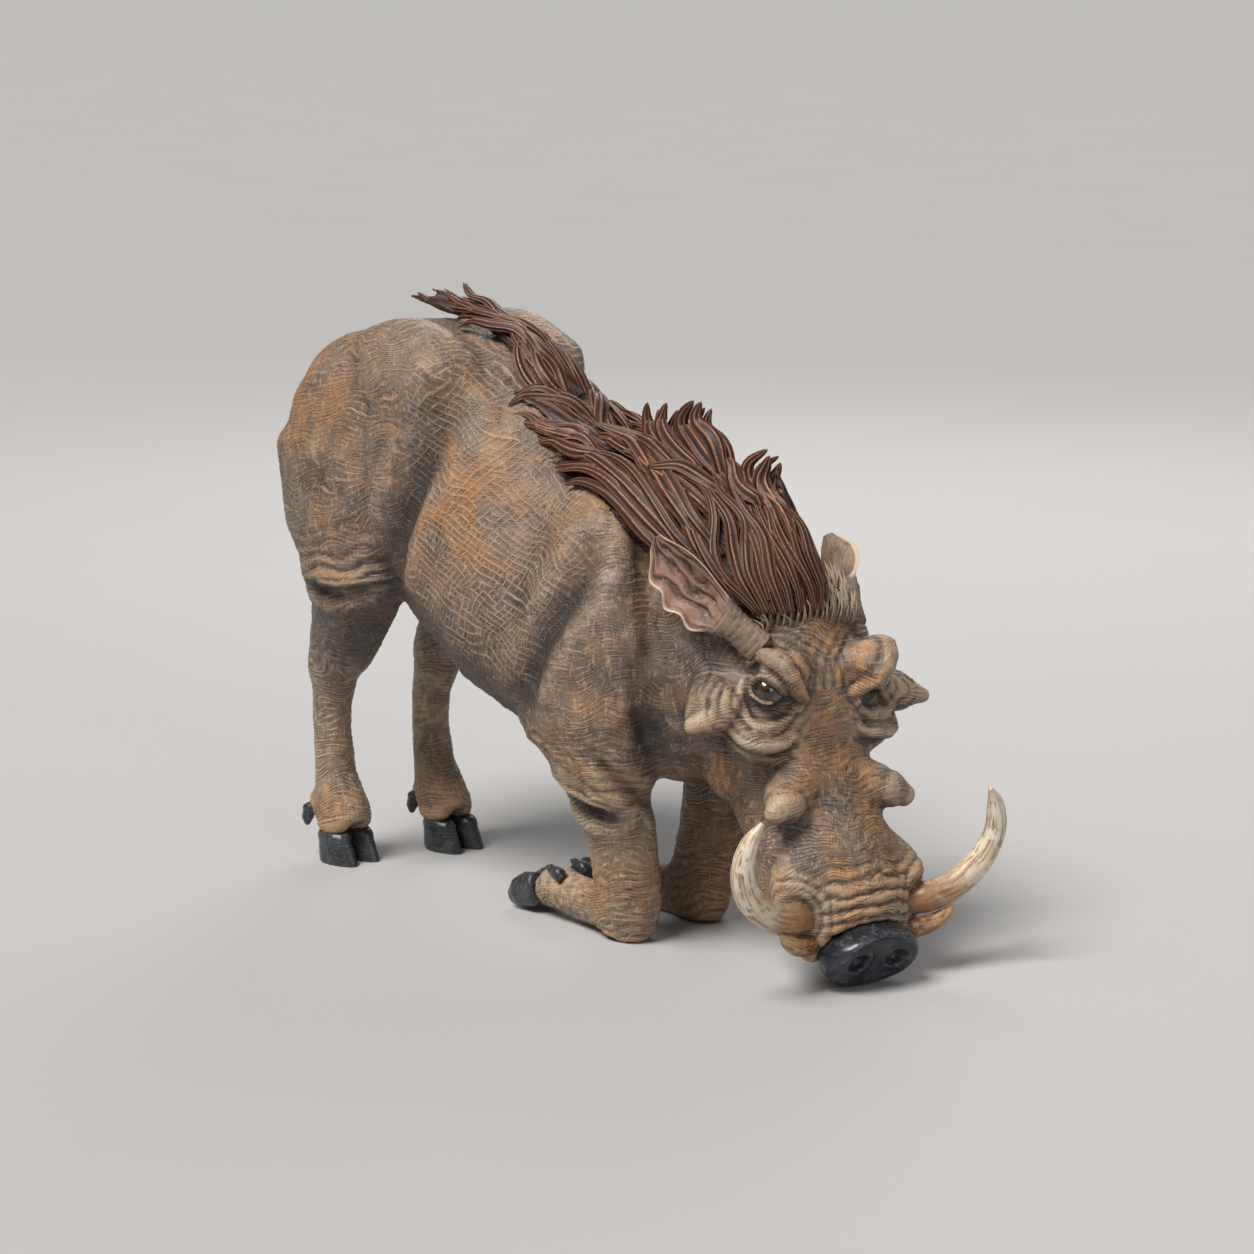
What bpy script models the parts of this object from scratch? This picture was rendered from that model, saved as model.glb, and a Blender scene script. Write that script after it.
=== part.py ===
"""Kneeling warthog figurine: a painted cast figure at about one sixth of life size.

Run with: blender --background --python part.py

The figure stands on z = 0 and looks along -Y, so its left side is +X. It rests on its hind hooves,
its two front knees (the carpal joints, folded under it) and the lower rim of its nose pad.
Tables are in millimetres; every mesh is scaled to metres once, in add_object.
"""

import math

import bmesh
import bpy
from mathutils import Matrix, Vector

MM = 0.001

# Driving dimensions, in millimetres.
SNOUT_AT = (-1.1, -75.7, 0.0)    # the point of the ground under the middle of the nose pad
HEAD_TURN = math.radians(-12.6)  # the head is turned a little to the animal's right
HIND_STEP = {"left": 6.5, "right": 0.0}  # how far each hind foot stands forward
NECK_SEAM = 33.0                 # distance of the neck joint behind the nose pad
GAP = 0.3                        # clearance between pieces that touch
EYE_RADIUS = 3.3

# Finish of each material: base colour, roughness, metallic.
FINISHES = {
    "hide": ((0.20, 0.13, 0.08), 0.7, 0.0),
    "mane": ((0.11, 0.045, 0.028), 0.4, 0.0),
    "ivory": ((0.72, 0.64, 0.48), 0.35, 0.0),
    "horn_brown": ((0.26, 0.11, 0.045), 0.4, 0.0),
    "hoof_black": ((0.025, 0.028, 0.032), 0.35, 0.0),
    "eye_glass": ((0.03, 0.012, 0.006), 0.08, 0.0),
}

SIDES = {"left": 1.0, "right": -1.0}


def clear_scene():
    for obj in list(bpy.data.objects):
        bpy.data.objects.remove(obj, do_unlink=True)


def material(name):
    found = bpy.data.materials.get(name)
    if found:
        return found
    colour, roughness, metallic = FINISHES[name]
    made = bpy.data.materials.new(name)
    made.use_nodes = True
    shader = made.node_tree.nodes["Principled BSDF"]
    shader.inputs["Base Color"].default_value = (*colour, 1.0)
    shader.inputs["Roughness"].default_value = roughness
    shader.inputs["Metallic"].default_value = metallic
    made.diffuse_color = (*colour, 1.0)
    return made


def add_object(name, bm, finish, parent=None):
    """Turns a bmesh in millimetres into a named object in metres."""
    bmesh.ops.scale(bm, vec=(MM, MM, MM), verts=bm.verts)
    bmesh.ops.recalc_face_normals(bm, faces=bm.faces)
    mesh = bpy.data.meshes.new(name)
    bm.to_mesh(mesh)
    bm.free()
    mesh.shade_smooth()
    mesh.materials.append(material(finish))
    obj = bpy.data.objects.new(name, mesh)
    bpy.context.scene.collection.objects.link(obj)
    obj.parent = parent
    return obj


def section(bm, station, along, across, count):
    """A ring of vertices across `along`: an ellipse, its upper half made narrower by `pinch`."""
    x, y, z, half_width, half_height, *pinch = station
    narrowing = pinch[0] if pinch else 0.0
    along = along.normalized()
    side = (across - along * across.dot(along)).normalized()
    up = along.cross(side)
    ring = []
    for i in range(count):
        angle = 2 * math.pi * i / count
        width = half_width * (1 - narrowing * math.sin(angle))
        offset = side * width * math.cos(angle) + up * half_height * math.sin(angle)
        ring.append(bm.verts.new(Vector((x, y, z)) + offset))
    return ring


def loft(bm, stations, across=(1, 0, 0), count=20):
    """A closed tube through stations of (x, y, z, half_width, half_height[, pinch]).

    The width is measured along `across`, the height across both that and the path.
    """
    points = [Vector(station[:3]) for station in stations]
    rings = []
    for i, station in enumerate(stations):
        along = points[min(i + 1, len(points) - 1)] - points[max(i - 1, 0)]
        rings.append(section(bm, station, along, Vector(across), count))
    for low, high in zip(rings, rings[1:]):
        for i in range(count):
            j = (i + 1) % count
            bm.faces.new((low[i], low[j], high[j], high[i]))
    bm.faces.new(rings[0])
    bm.faces.new(rings[-1])


def ball(bm, centre, radii, tilt=0.0, detail=3):
    """An ellipsoid, tilted about the X axis by an angle in degrees."""
    spin = Matrix.Rotation(math.radians(tilt), 4, "X")
    matrix = Matrix.Translation(centre) @ spin @ Matrix.Diagonal((*radii, 1.0))
    bmesh.ops.create_icosphere(bm, subdivisions=detail, radius=1.0, matrix=matrix)


def mirrored(stations, side):
    """The same stations on the left (side 1) or the right (side -1)."""
    return [(x * side, *rest) for x, *rest in stations]


def shifted(stations, by):
    """The stations moved forward by a share of `by` that grows towards the ground."""
    top = stations[0][2]
    return [(x, y - by * (1 - z / top), z, *rest) for x, y, z, *rest in stations]


def thickened(stations, by):
    """The same stations with wider sections and the two ends pushed out, both by `by`."""
    grown = [[x, y, z, half_width + by, half_height + by, *rest]
             for x, y, z, half_width, half_height, *rest in stations]
    for end, inner in ((0, 1), (-1, -2)):
        outward = Vector(stations[end][:3]) - Vector(stations[inner][:3])
        grown[end][:3] = Vector(grown[end][:3]) + outward.normalized() * by
    return grown


def smooth_path(stations, steps):
    """The same stations with others filled in between them on a Catmull-Rom curve."""
    filled = []
    for i in range(len(stations) - 1):
        before, start = stations[max(i - 1, 0)], stations[i]
        end, after = stations[i + 1], stations[min(i + 2, len(stations) - 1)]
        for step in range(steps):
            t = step / steps
            filled.append(tuple(
                0.5 * (2 * b + (c - a) * t + (2 * a - 5 * b + 4 * c - d) * t ** 2
                       + (3 * b - a - 3 * c + d) * t ** 3)
                for a, b, c, d in zip(before, start, end, after)))
    filled.append(tuple(stations[-1]))
    return filled


def leaf(bm, stations, facing, thickness, count):
    """A cupped shell through stations of (x, y, z, half_width, cup depth), open towards `facing`."""
    points = [Vector(station[:3]) for station in stations]
    rings = []
    for i, (x, y, z, half_width, depth) in enumerate(stations):
        along = (points[min(i + 1, len(points) - 1)] - points[max(i - 1, 0)]).normalized()
        side = along.cross(facing).normalized()
        out = side.cross(along)
        ring = []
        for k in range(count):
            angle = 2 * math.pi * k / count
            share = math.cos(angle)
            lift = depth * (share ** 2 - 0.5) + thickness * math.sin(angle)
            ring.append(bm.verts.new(points[i] + side * half_width * share + out * lift))
        rings.append(ring)
    for low, high in zip(rings, rings[1:]):
        for k in range(count):
            j = (k + 1) % count
            bm.faces.new((low[k], low[j], high[j], high[k]))
    bm.faces.new(rings[0])
    bm.faces.new(rings[-1])


def merge(bm, other):
    """Adds the geometry of other to bm and frees other."""
    mesh = bpy.data.meshes.new("passing")
    other.to_mesh(mesh)
    other.free()
    bm.from_mesh(mesh)
    bpy.data.meshes.remove(mesh)


def block(bm, low, high):
    """A box between two corners."""
    size = [b - a for a, b in zip(low, high)]
    centre = [(a + b) / 2 for a, b in zip(low, high)]
    matrix = Matrix.Translation(centre) @ Matrix.Diagonal((*size, 1.0))
    bmesh.ops.create_cube(bm, size=1.0, matrix=matrix)


def carve(obj, cutter):
    """Cuts the shape of cutter out of obj; the cutter itself isn't part of the figure."""
    cutter.hide_render = True
    cutter.display_type = "WIRE"
    cut = obj.modifiers.new("carve", "BOOLEAN")
    cut.operation = "DIFFERENCE"
    cut.solver = "EXACT"
    cut.use_self = True
    cut.object = cutter


def fuse(obj, voxel, smoothing, ratio):
    """Joins the overlapping lumps of obj into one skin, rounds the joins and thins the mesh."""
    remesh = obj.modifiers.new("fuse", "REMESH")
    remesh.mode = "VOXEL"
    remesh.voxel_size = voxel * MM
    smooth = obj.modifiers.new("round", "SMOOTH")
    smooth.factor = 0.5
    smooth.iterations = smoothing
    thin = obj.modifiers.new("thin", "DECIMATE")
    thin.ratio = ratio


# ---------------------------------------------------------------- body

TRUNK = [
    (0, 77, 86, 8, 9),
    (0, 73, 87.5, 16, 17),
    (0, 61, 90, 22, 25),
    (0, 48, 88.5, 24, 28.5, 0.05),
    (0, 34, 85.5, 25, 30, 0.1),
    (0, 20, 78, 27, 30, 0.15),
    (0, 6, 68.5, 27.5, 29, 0.25),
    (0, -8, 63.5, 25, 29, 0.35),
    (0.5, -21, 59.5, 21, 28.5, 0.4),
    (2, -33, 57, 18, 26, 0.4),
    (4.5, -44, 55.5, 16, 22, 0.3),
    (6, -52, 55, 12, 17, 0.2),
]

HIND_LEG = [
    (14, 52, 98, 9, 16),
    (17, 56, 88, 10, 20),
    (18.5, 54, 76, 9.5, 18),
    (18.5, 52.5, 66, 9, 14.5),
    (16.5, 56, 57, 7.6, 10.5),
    (14, 62, 49, 6.2, 8.6),
    (12.8, 66.8, 42, 4.9, 6.2),
    (12.0, 68.6, 34, 4.2, 4.6),
    (11.7, 69, 26, 4.0, 4.3),
    (11.5, 68.4, 18, 4.4, 4.9),
    (11.5, 66.6, 12, 5.4, 6.2),
    (11.5, 65.0, 7.4, 6.0, 6.6),
]

FORE_LEG = [
    (9, -6, 86, 5, 8),
    (13, -10, 78, 8, 14),
    (17, -13, 68, 9, 16),
    (19, -17, 57, 9, 16),
    (19.5, -20.5, 46, 8.6, 13.5),
    (18, -20, 37.5, 7.6, 11.5),
    (15, -20.5, 29, 6.8, 8.4),
    (12.8, -21, 21, 6.6, 7.2),
    (11, -20.5, 12, 6.4, 7.0),
    (10, -19.5, 6.5, 6.6, 7.4),
    (9.6, -19, 0.4, 5.0, 6.0),
]

FORE_FOOT = [
    (10, -19, 6, 5.6, 5.6),
    (9.6, -12, 5.0, 4.6, 4.6),
    (9.2, -5, 5.2, 4.2, 4.2),
    (8.8, 1, 6.0, 4.8, 4.4),
    (8.4, 4.9, 6.2, 5.0, 4.0),
]


BODY_BALLS = [
    ((13, 56, 90), (12.5, 20, 25), 16),
    ((13.5, 37.5, 104.5), (9.5, 18, 13.5), 12),
    ((15, -14, 62), (9, 13, 21), 14),
]


HIND_STANCE = 11.5   # half the distance between the hind feet
HIND_FOOT_Y = 64.5
CLAW_SPREAD = 3.05   # half the distance between the two claws of a foot
CLAW_HALF_WIDTH = 2.75
CLAW_HALF_LENGTH = 5.3
CLAW_HEIGHT = 6.6
CLAW_LEAN = 0.28     # how far the claw leans back for each unit of height
FORE_FOOT_X = 8.2
FORE_CLAW_SPREAD = 2.6


def body_lumps(bm, grow=0.0):
    """The overlapping lumps of trunk and legs, each thickened by `grow`."""
    loft(bm, thickened(TRUNK, grow), count=28)
    for name, side in SIDES.items():
        loft(bm, thickened(shifted(mirrored(HIND_LEG, side), HIND_STEP[name]), grow))
        loft(bm, thickened(mirrored(FORE_LEG, side), grow))
        loft(bm, thickened(mirrored(FORE_FOOT, side), grow))
        for (x, y, z), radii, tilt in BODY_BALLS:
            ball(bm, (x * side, y, z), [radius + grow for radius in radii], tilt)


# ---------------------------------------------------------------- head
# The head's own frame: x to its left, y back from the nose pad, z up from the ground.

SKULL = [
    (0, 6.5, 4.5, 10, 4.6),
    (0, 6.5, 8, 12.2, 7.6),
    (0, 9, 13, 14, 11),
    (0, 13.5, 20, 14.4, 12.4),
    (0, 20.5, 28, 12.6, 13),
    (0, 26.5, 38, 14, 14.5),
    (0, 29, 48, 16, 15.5),
    (0, 30, 57, 16, 15),
    (0, 31, 65, 13.5, 12.5),
    (0, 33, 71, 9, 8.5),
]

UPPER_WART = [
    (13, 29, 52, 6.4, 7.5),
    (18, 26, 51.3, 5.2, 5.6),
    (22.5, 22.8, 50, 4.0, 4.2),
    (25, 21.2, 49, 2.6, 2.8),
]

LOWER_WART = [
    (7, 15.5, 36.5, 4.6, 5.0),
    (11, 12.8, 35, 4.0, 4.4),
    (13.4, 11.4, 33.8, 2.8, 3.0),
]

LIP = [
    (7, 12, 25, 5, 5),
    (10.5, 9, 20, 5.4, 6.0),
    (12.5, 5.5, 16.5, 4.6, 4.8),
]


HEAD_BALLS = [
    ((9.6, 15.5, 58.4), (5.2, 4.6, 4.6)),
    ((12.5, 21, 46), (5, 6, 6)),
    ((11.5, 30, 40), (5, 10, 9)),
]

EYE_AT = (11.8, 17.6, 55.2)

NOSE_PAD = [
    (0.5, 4.6, 7.6, 9.4, 5.8),
    (0.5, 2.6, 6.6, 10.4, 6.8),
    (0.5, 0.4, 5.6, 10.4, 6.6),
    (0.5, -0.6, 5.1, 9.4, 5.2),
]

UPPER_TUSK = [
    (11.5, 5.4, 14.0, 2.7, 2.7),
    (15, 4.0, 14.6, 2.9, 2.9),
    (20.7, 2.8, 16.3, 2.8, 2.8),
    (26.1, 1.7, 20.7, 2.6, 2.6),
    (28.6, 0.4, 26.5, 2.2, 2.2),
    (27.8, -0.8, 31.9, 1.7, 1.7),
    (25.7, -1.8, 35.6, 0.8, 0.8),
]

LOWER_TUSK = [
    (12.6, 3.2, 9.4, 1.8, 1.8),
    (15.6, 2.0, 10.0, 1.7, 1.7),
    (18.2, 1.3, 11.6, 1.2, 1.2),
    (19.8, 1.0, 13.2, 0.4, 0.4),
]

# Ear stations: x, y, z, half width, depth of the cup.
EARS = {
    "right": [(13, 21, 65.5, 2.6, 0.4), (17, 24.5, 68.5, 3.0, 1.2), (21, 28, 71, 6.6, 3.4),
              (23.5, 30.5, 74.5, 7.2, 3.6), (25, 33, 79, 4.8, 2.4), (25.6, 34.6, 83, 1.2, 0.5)],
    "left": [(12, 24, 65.5, 2.6, 0.4), (14.5, 28.5, 67.5, 3.0, 1.2), (17, 33.5, 70, 5.8, 3.0),
             (19, 37, 73, 6.0, 3.2), (19.6, 40, 76.5, 4.2, 2.0), (19.6, 42, 79.5, 1.2, 0.5)],
}
EAR_FACING = (0.9, -0.42, 0.1)
EAR_THICKNESS = 0.75


def head_lumps(bm, grow=0.0):
    """The overlapping lumps of skull, warts, lips and brows, each thickened by `grow`."""
    loft(bm, thickened(SKULL, grow), count=28)
    for side in SIDES.values():
        loft(bm, thickened(mirrored(UPPER_WART, side), grow), across=(0, 0, 1))
        loft(bm, thickened(mirrored(LOWER_WART, side), grow), across=(0, 0, 1))
        loft(bm, thickened(mirrored(LIP, side), grow), across=(0, 1, 0))
        for (x, y, z), radii in HEAD_BALLS:
            ball(bm, (x * side, y, z), [radius + grow for radius in radii])


def head_place():
    """Takes the head's own frame to the figure's."""
    return Matrix.Translation(SNOUT_AT) @ Matrix.Rotation(HEAD_TURN, 4, "Z")


def skin_lumps(grow=0.0):
    """All the lumps of body and head together, so that the two pieces meet flush at the neck."""
    bm = bmesh.new()
    head_lumps(bm, grow)
    bmesh.ops.transform(bm, matrix=head_place(), verts=bm.verts)
    body_lumps(bm, grow)
    return bm


def make_body():
    """The trunk and legs: everything behind the neck joint."""
    body = add_object("body", skin_lumps(), "hide")
    fuse(body, 1.3, 7, 0.052)
    sockets = bmesh.new()
    block(sockets, (-40, -20, 0), (40, NECK_SEAM + GAP / 2, 110))
    bmesh.ops.transform(sockets, matrix=head_place(), verts=sockets.verts)
    for _, shape, x, y in foot_pieces():
        shape(sockets, x, y, GAP)
    carve(body, add_object("body_cutter", sockets, "hide"))


def make_head(frame):
    """Everything in front of the neck joint, hollowed where other pieces are set in."""
    head = add_object("head", skin_lumps(), "hide")
    fuse(head, 1.0, 5, 0.055)
    sockets = bmesh.new()
    loft(sockets, thickened(NOSE_PAD, GAP), count=20)
    for name, side in SIDES.items():
        x, y, z = EYE_AT
        ball(sockets, (x * side, y, z), [EYE_RADIUS + GAP] * 3, detail=2)
        for tusk in (UPPER_TUSK, LOWER_TUSK):
            loft(sockets, thickened(smooth_path(mirrored(tusk, side), 2), GAP), (0, 1, 0), 10)
        leaf(sockets, thickened(smooth_path(mirrored(EARS[name], side), 2), GAP),
             ear_facing(side), EAR_THICKNESS + GAP, 12)
    block(sockets, (-90, NECK_SEAM - GAP / 2, -5), (90, NECK_SEAM + 170, 140))
    carve(head, add_object("head_cutter", sockets, "hide", frame))


def make_nose_pad(frame):
    """The oval pad, flattened where it rests on the ground, with two nostrils sunk in its face."""
    bm = bmesh.new()
    loft(bm, NOSE_PAD, count=20)
    for vert in bm.verts:
        vert.co.z = max(vert.co.z, 0.0)
    pad = add_object("nose_pad", bm, "hoof_black", frame)
    nostrils = bmesh.new()
    for side in SIDES.values():
        ball(nostrils, (0.5 + 4.2 * side, -1.4, 5.6), (2.4, 1.8, 1.9), detail=2)
    carve(pad, add_object("nostril_cutter", nostrils, "hoof_black", frame))
    return pad


def make_eyes(frame):
    for name, side in SIDES.items():
        bm = bmesh.new()
        x, y, z = EYE_AT
        bmesh.ops.create_uvsphere(bm, u_segments=12, v_segments=8, radius=EYE_RADIUS,
                                  matrix=Matrix.Translation((x * side, y, z)))
        add_object(f"eye_{name}", bm, "eye_glass", frame)


def make_tusks(frame):
    for name, side in SIDES.items():
        bm = bmesh.new()
        loft(bm, smooth_path(mirrored(UPPER_TUSK, side), 2), across=(0, 1, 0), count=10)
        add_object(f"upper_tusk_{name}", bm, "ivory", frame)
        bm = bmesh.new()
        loft(bm, smooth_path(mirrored(LOWER_TUSK, side), 2), across=(0, 1, 0), count=8)
        add_object(f"lower_tusk_{name}", bm, "horn_brown", frame)


def ear_facing(side):
    x, y, z = EAR_FACING
    return Vector((x * side, y, z)).normalized()


def make_ears(frame):
    """Two leaf-shaped shells on stems, cupped towards the outside."""
    for name, side in SIDES.items():
        bm = bmesh.new()
        leaf(bm, smooth_path(mirrored(EARS[name], side), 2), ear_facing(side), EAR_THICKNESS, 12)
        add_object(f"ear_{name}", bm, "hide", frame)


# ---------------------------------------------------------------- feet

def hind_claw(bm, x, y, grow=0.0):
    """One half of a hind hoof: a flat sole, a steep pointed front wall and a low heel."""
    wide = CLAW_HALF_WIDTH + grow
    long = CLAW_HALF_LENGTH + grow
    tall = CLAW_HEIGHT + grow
    claw = bmesh.new()
    loft(claw, [
        (x, y, 0.0, wide, long, -0.22),
        (x, y, 0.5, wide * 1.04, long * 1.02, -0.22),
        (x, y, tall * 0.55, wide, long * 0.9, -0.18),
        (x, y, tall, wide * 0.86, long * 0.74, -0.1),
    ], count=12)
    for vert in claw.verts:
        vert.co.y += vert.co.z * CLAW_LEAN
    merge(bm, claw)


def hind_dewclaw(bm, x, y, grow=0.0):
    loft(bm, thickened([(x, y - 1.2, 11.2, 1.0, 1.1), (x, y, 10.2, 1.5, 1.5),
                        (x, y + 0.9, 8.2, 1.3, 1.3), (x, y + 1.0, 6.6, 0.5, 0.5)], grow), count=8)


def fore_claw(bm, x, y, grow=0.0):
    """One half of a front hoof, lying on its front wall and pointing to the rear."""
    loft(bm, thickened([(x, y, 5.6, 2.2, 3.0), (x, y + 2.6, 4.6, 2.4, 3.7),
                        (x, y + 5.6, 3.4, 2.2, 3.1), (x, y + 8.0, 2.0, 1.0, 1.6)], grow), count=12)


def fore_dewclaw(bm, x, y, grow=0.0):
    loft(bm, thickened([(x, y - 1.6, 8.9, 0.9, 0.9), (x, y, 9.9, 1.3, 1.3),
                        (x, y + 2.0, 10.5, 0.9, 0.9), (x, y + 3.2, 10.5, 0.35, 0.35)], grow), count=8)


def foot_pieces():
    """Every hoof and dewclaw as (name, shape, x, y)."""
    for name, side in SIDES.items():
        hind_y = HIND_FOOT_Y - HIND_STEP[name] * 1.15
        for claw, inward in (("inner", -1), ("outer", 1)):
            spread = CLAW_SPREAD * inward
            yield f"hind_hoof_{name}_{claw}", hind_claw, (HIND_STANCE + spread) * side, hind_y - 0.7
            x = (HIND_STANCE + 1.15 * spread) * side
            yield f"hind_dewclaw_{name}_{claw}", hind_dewclaw, x, hind_y + 8.6
            spread = FORE_CLAW_SPREAD * inward
            yield f"fore_hoof_{name}_{claw}", fore_claw, (FORE_FOOT_X + spread) * side, 5.4
            x = (FORE_FOOT_X + 1.3 * spread) * side
            yield f"fore_dewclaw_{name}_{claw}", fore_dewclaw, x, -1.0


def make_feet():
    for name, shape, x, y in foot_pieces():
        bm = bmesh.new()
        shape(bm, x, y)
        add_object(name, bm, "hoof_black")


# ---------------------------------------------------------------- mane and tail

# Locks: half width, half thickness, then the points from root to tip.
MANES = {
    "mane_neck": [
        (8, 6, (0, -54, 75), (0, -44, 83), (0, -32, 89), (0, -20, 92.5), (0, -9, 94.5), (0, 0, 96.5)),
        (5, 4, (-4, -54, 71), (-9, -42, 77), (-12, -28, 82), (-12, -14, 86), (-12, 0, 92)),
        (5, 4, (-4, -50, 76), (-8, -38, 83.5), (-10, -22, 89.5), (-10, -6, 94.5), (-9, 9, 101)),
        (3.5, 3, (-3, -14, 94), (-5, -4, 97), (-8, 6, 101), (-10, 14, 105.5)),
        (4, 4, (5, -50, 74), (7, -38, 83), (7, -26, 88), (6, -14, 93), (5, -2, 97)),
        (3, 3, (0, -38, 84), (-1, -28, 92), (-1, -22, 98), (0, -17.5, 103.5)),
        (3, 3, (1, -46, 80), (0, -38, 90), (0, -31, 98), (1, -27, 104)),
        (3, 3, (2, -56, 72), (2, -53, 82), (1, -50, 91), (1, -47.5, 96)),
    ],
    "mane_back": [
        (4.5, 3.4, (0, 4.5, 102), (-0.5, 9, 105), (-1, 16, 110), (-1, 24, 114.5), (-1, 33, 118),
         (-1, 39, 120)),
        (3, 2.5, (2.5, 9, 104), (3, 15, 108.5), (3, 22, 113), (2, 30, 117)),
        (3.8, 2.8, (0, 36, 117.5), (0, 43, 119), (-1, 49, 120), (-1, 55, 120.5)),
        (2.8, 2.4, (2, 38, 118), (3, 44, 119.5), (3.5, 49, 120.8), (3.5, 53, 122)),
    ],
}
LOCK_TAPER = (0.2, 0.16)

TAIL = [
    (0, 74, 106, 2.2, 2.2),
    (0, 80.5, 101, 2.0, 2.0),
    (0, 83.5, 94, 1.8, 1.8),
    (0, 84.2, 86, 1.5, 1.5),
    (0, 83.8, 80, 2.4, 2.2),
    (0, 82.6, 74, 2.0, 1.8),
    (0, 81.5, 68, 0.6, 0.6),
]


def make_grown_skin():
    """The skin grown by the clearance: it hollows the mane and the tail where they lie on it."""
    cutter = add_object("grown_skin", skin_lumps(GAP + 0.1), "hide")
    fuse(cutter, 1.3, 7, 0.15)
    return cutter


def make_mane(name, locks, under_mane):
    """A bundle of pointed locks, hollowed underneath to sit on the skin."""
    bm = bmesh.new()
    for width, thickness, *points in locks:
        stations = []
        for i, point in enumerate(points):
            along = i / (len(points) - 1)
            swell = LOCK_TAPER[0] + (1 - LOCK_TAPER[0]) * math.sin(math.pi * min(1, 0.25 + along * 0.75))
            swell = max(swell, LOCK_TAPER[1])
            stations.append((*point, width * swell, thickness * swell))
        loft(bm, smooth_path(stations, 3), count=10)
    mane = add_object(name, bm, "mane")
    fuse(mane, 0.8, 1, 0.034)
    carve(mane, under_mane)
    return mane


def make_tail(under_tail):
    bm = bmesh.new()
    loft(bm, smooth_path(TAIL, 2), count=8)
    carve(add_object("tail", bm, "mane"), under_tail)


def centre_on_origin():
    """Moves the figure so that the middle of its footprint is at x = 0, y = 0."""
    bpy.context.view_layer.update()
    graph = bpy.context.evaluated_depsgraph_get()
    corners = []
    for obj in bpy.data.objects:
        if obj.type == "MESH" and not obj.hide_render:
            shape = obj.evaluated_get(graph)
            corners += [shape.matrix_world @ vert.co for vert in shape.data.vertices]
    for axis in (0, 1):
        middle = (min(c[axis] for c in corners) + max(c[axis] for c in corners)) / 2
        for obj in bpy.data.objects:
            if obj.parent is None:
                obj.location[axis] -= middle


def main():
    clear_scene()
    frame = bpy.data.objects.new("head_frame", None)
    frame.location = Vector(SNOUT_AT) * MM
    frame.rotation_euler = (0, 0, HEAD_TURN)
    bpy.context.scene.collection.objects.link(frame)

    make_body()
    make_head(frame)
    make_nose_pad(frame)
    make_eyes(frame)
    make_tusks(frame)
    make_ears(frame)
    make_feet()
    grown_skin = make_grown_skin()
    for name, locks in MANES.items():
        make_mane(name, locks, grown_skin)
    make_tail(grown_skin)
    centre_on_origin()


main()
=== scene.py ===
"""Looks of the kneeling warthog figurine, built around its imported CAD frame.

Lengths in the tables are millimetres in the figure's own place, before the frame was centred on its
footprint; place() and head() turn them into metres in the row frame.
"""

import math

import bmesh
import bpy
import numpy as np
from mathutils import Matrix, Vector
from mathutils.bvhtree import BVHTree


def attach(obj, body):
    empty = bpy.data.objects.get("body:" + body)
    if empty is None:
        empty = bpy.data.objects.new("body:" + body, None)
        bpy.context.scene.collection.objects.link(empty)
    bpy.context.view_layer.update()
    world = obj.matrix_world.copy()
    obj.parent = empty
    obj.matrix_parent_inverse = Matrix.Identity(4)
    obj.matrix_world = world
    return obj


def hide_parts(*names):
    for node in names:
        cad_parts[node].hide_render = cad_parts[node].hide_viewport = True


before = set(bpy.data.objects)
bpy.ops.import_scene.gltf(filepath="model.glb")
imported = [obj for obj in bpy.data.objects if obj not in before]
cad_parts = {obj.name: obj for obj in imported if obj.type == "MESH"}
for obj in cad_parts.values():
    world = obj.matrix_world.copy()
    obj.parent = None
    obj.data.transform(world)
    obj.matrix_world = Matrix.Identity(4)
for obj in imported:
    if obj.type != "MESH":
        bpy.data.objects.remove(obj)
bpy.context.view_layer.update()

MM = 0.001
SIDES = {"left": 1.0, "right": -1.0}
SHIFT = np.array((0.475, -0.892, 0.0))     # from the tables' place to the centred frame
SNOUT_AT = np.array((-1.1, -75.7, 0.0))    # the ground under the nose pad, in the tables' place
HEAD_TURN = math.radians(-12.6)
NECK_SEAM = 33.0                           # where the head piece ends, behind the nose pad

EYE_AT = (11.8, 17.6, 55.2)                # the left eye, in the head's frame
EYE_RADIUS = 3.3
HIND_STANCE = 11.5                         # each hind foot's distance from the middle
HIND_STEP = 6.5                            # how far the left hind foot stands in front of the right
CLAW_SPREAD = 3.05

SKIN_VOXEL = 0.455                         # edge of the finished skin's faces
BASE_VOXEL = 0.9


# ---------------------------------------------------------------- places

def turn_matrix():
    c, s = math.cos(HEAD_TURN), math.sin(HEAD_TURN)
    return np.array(((c, -s, 0), (s, c, 0), (0, 0, 1)))


def head(x, y, z):
    """A point of the head's own frame, in the tables' place."""
    return tuple(turn_matrix() @ np.array((x, y, z)) + SNOUT_AT)


def place(point):
    """A point of the tables, in metres in the row frame."""
    return Vector((np.asarray(point, float) + SHIFT) * MM)


def head_coordinates(points):
    """Table points as coordinates of the head's own frame."""
    return (points - SNOUT_AT) @ turn_matrix()


# ---------------------------------------------------------------- noise

def hashed(ix, iy, iz, seed):
    """Repeatable pseudo-random 32-bit numbers for lattice points."""
    h = (ix.astype(np.uint32) * np.uint32(374761393) + iy.astype(np.uint32) * np.uint32(668265263)
         + iz.astype(np.uint32) * np.uint32(2147483647) + np.uint32(seed * 974711 + 12345))
    h = (h ^ (h >> np.uint32(13))) * np.uint32(1274126177)
    return h ^ (h >> np.uint32(16))


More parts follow.
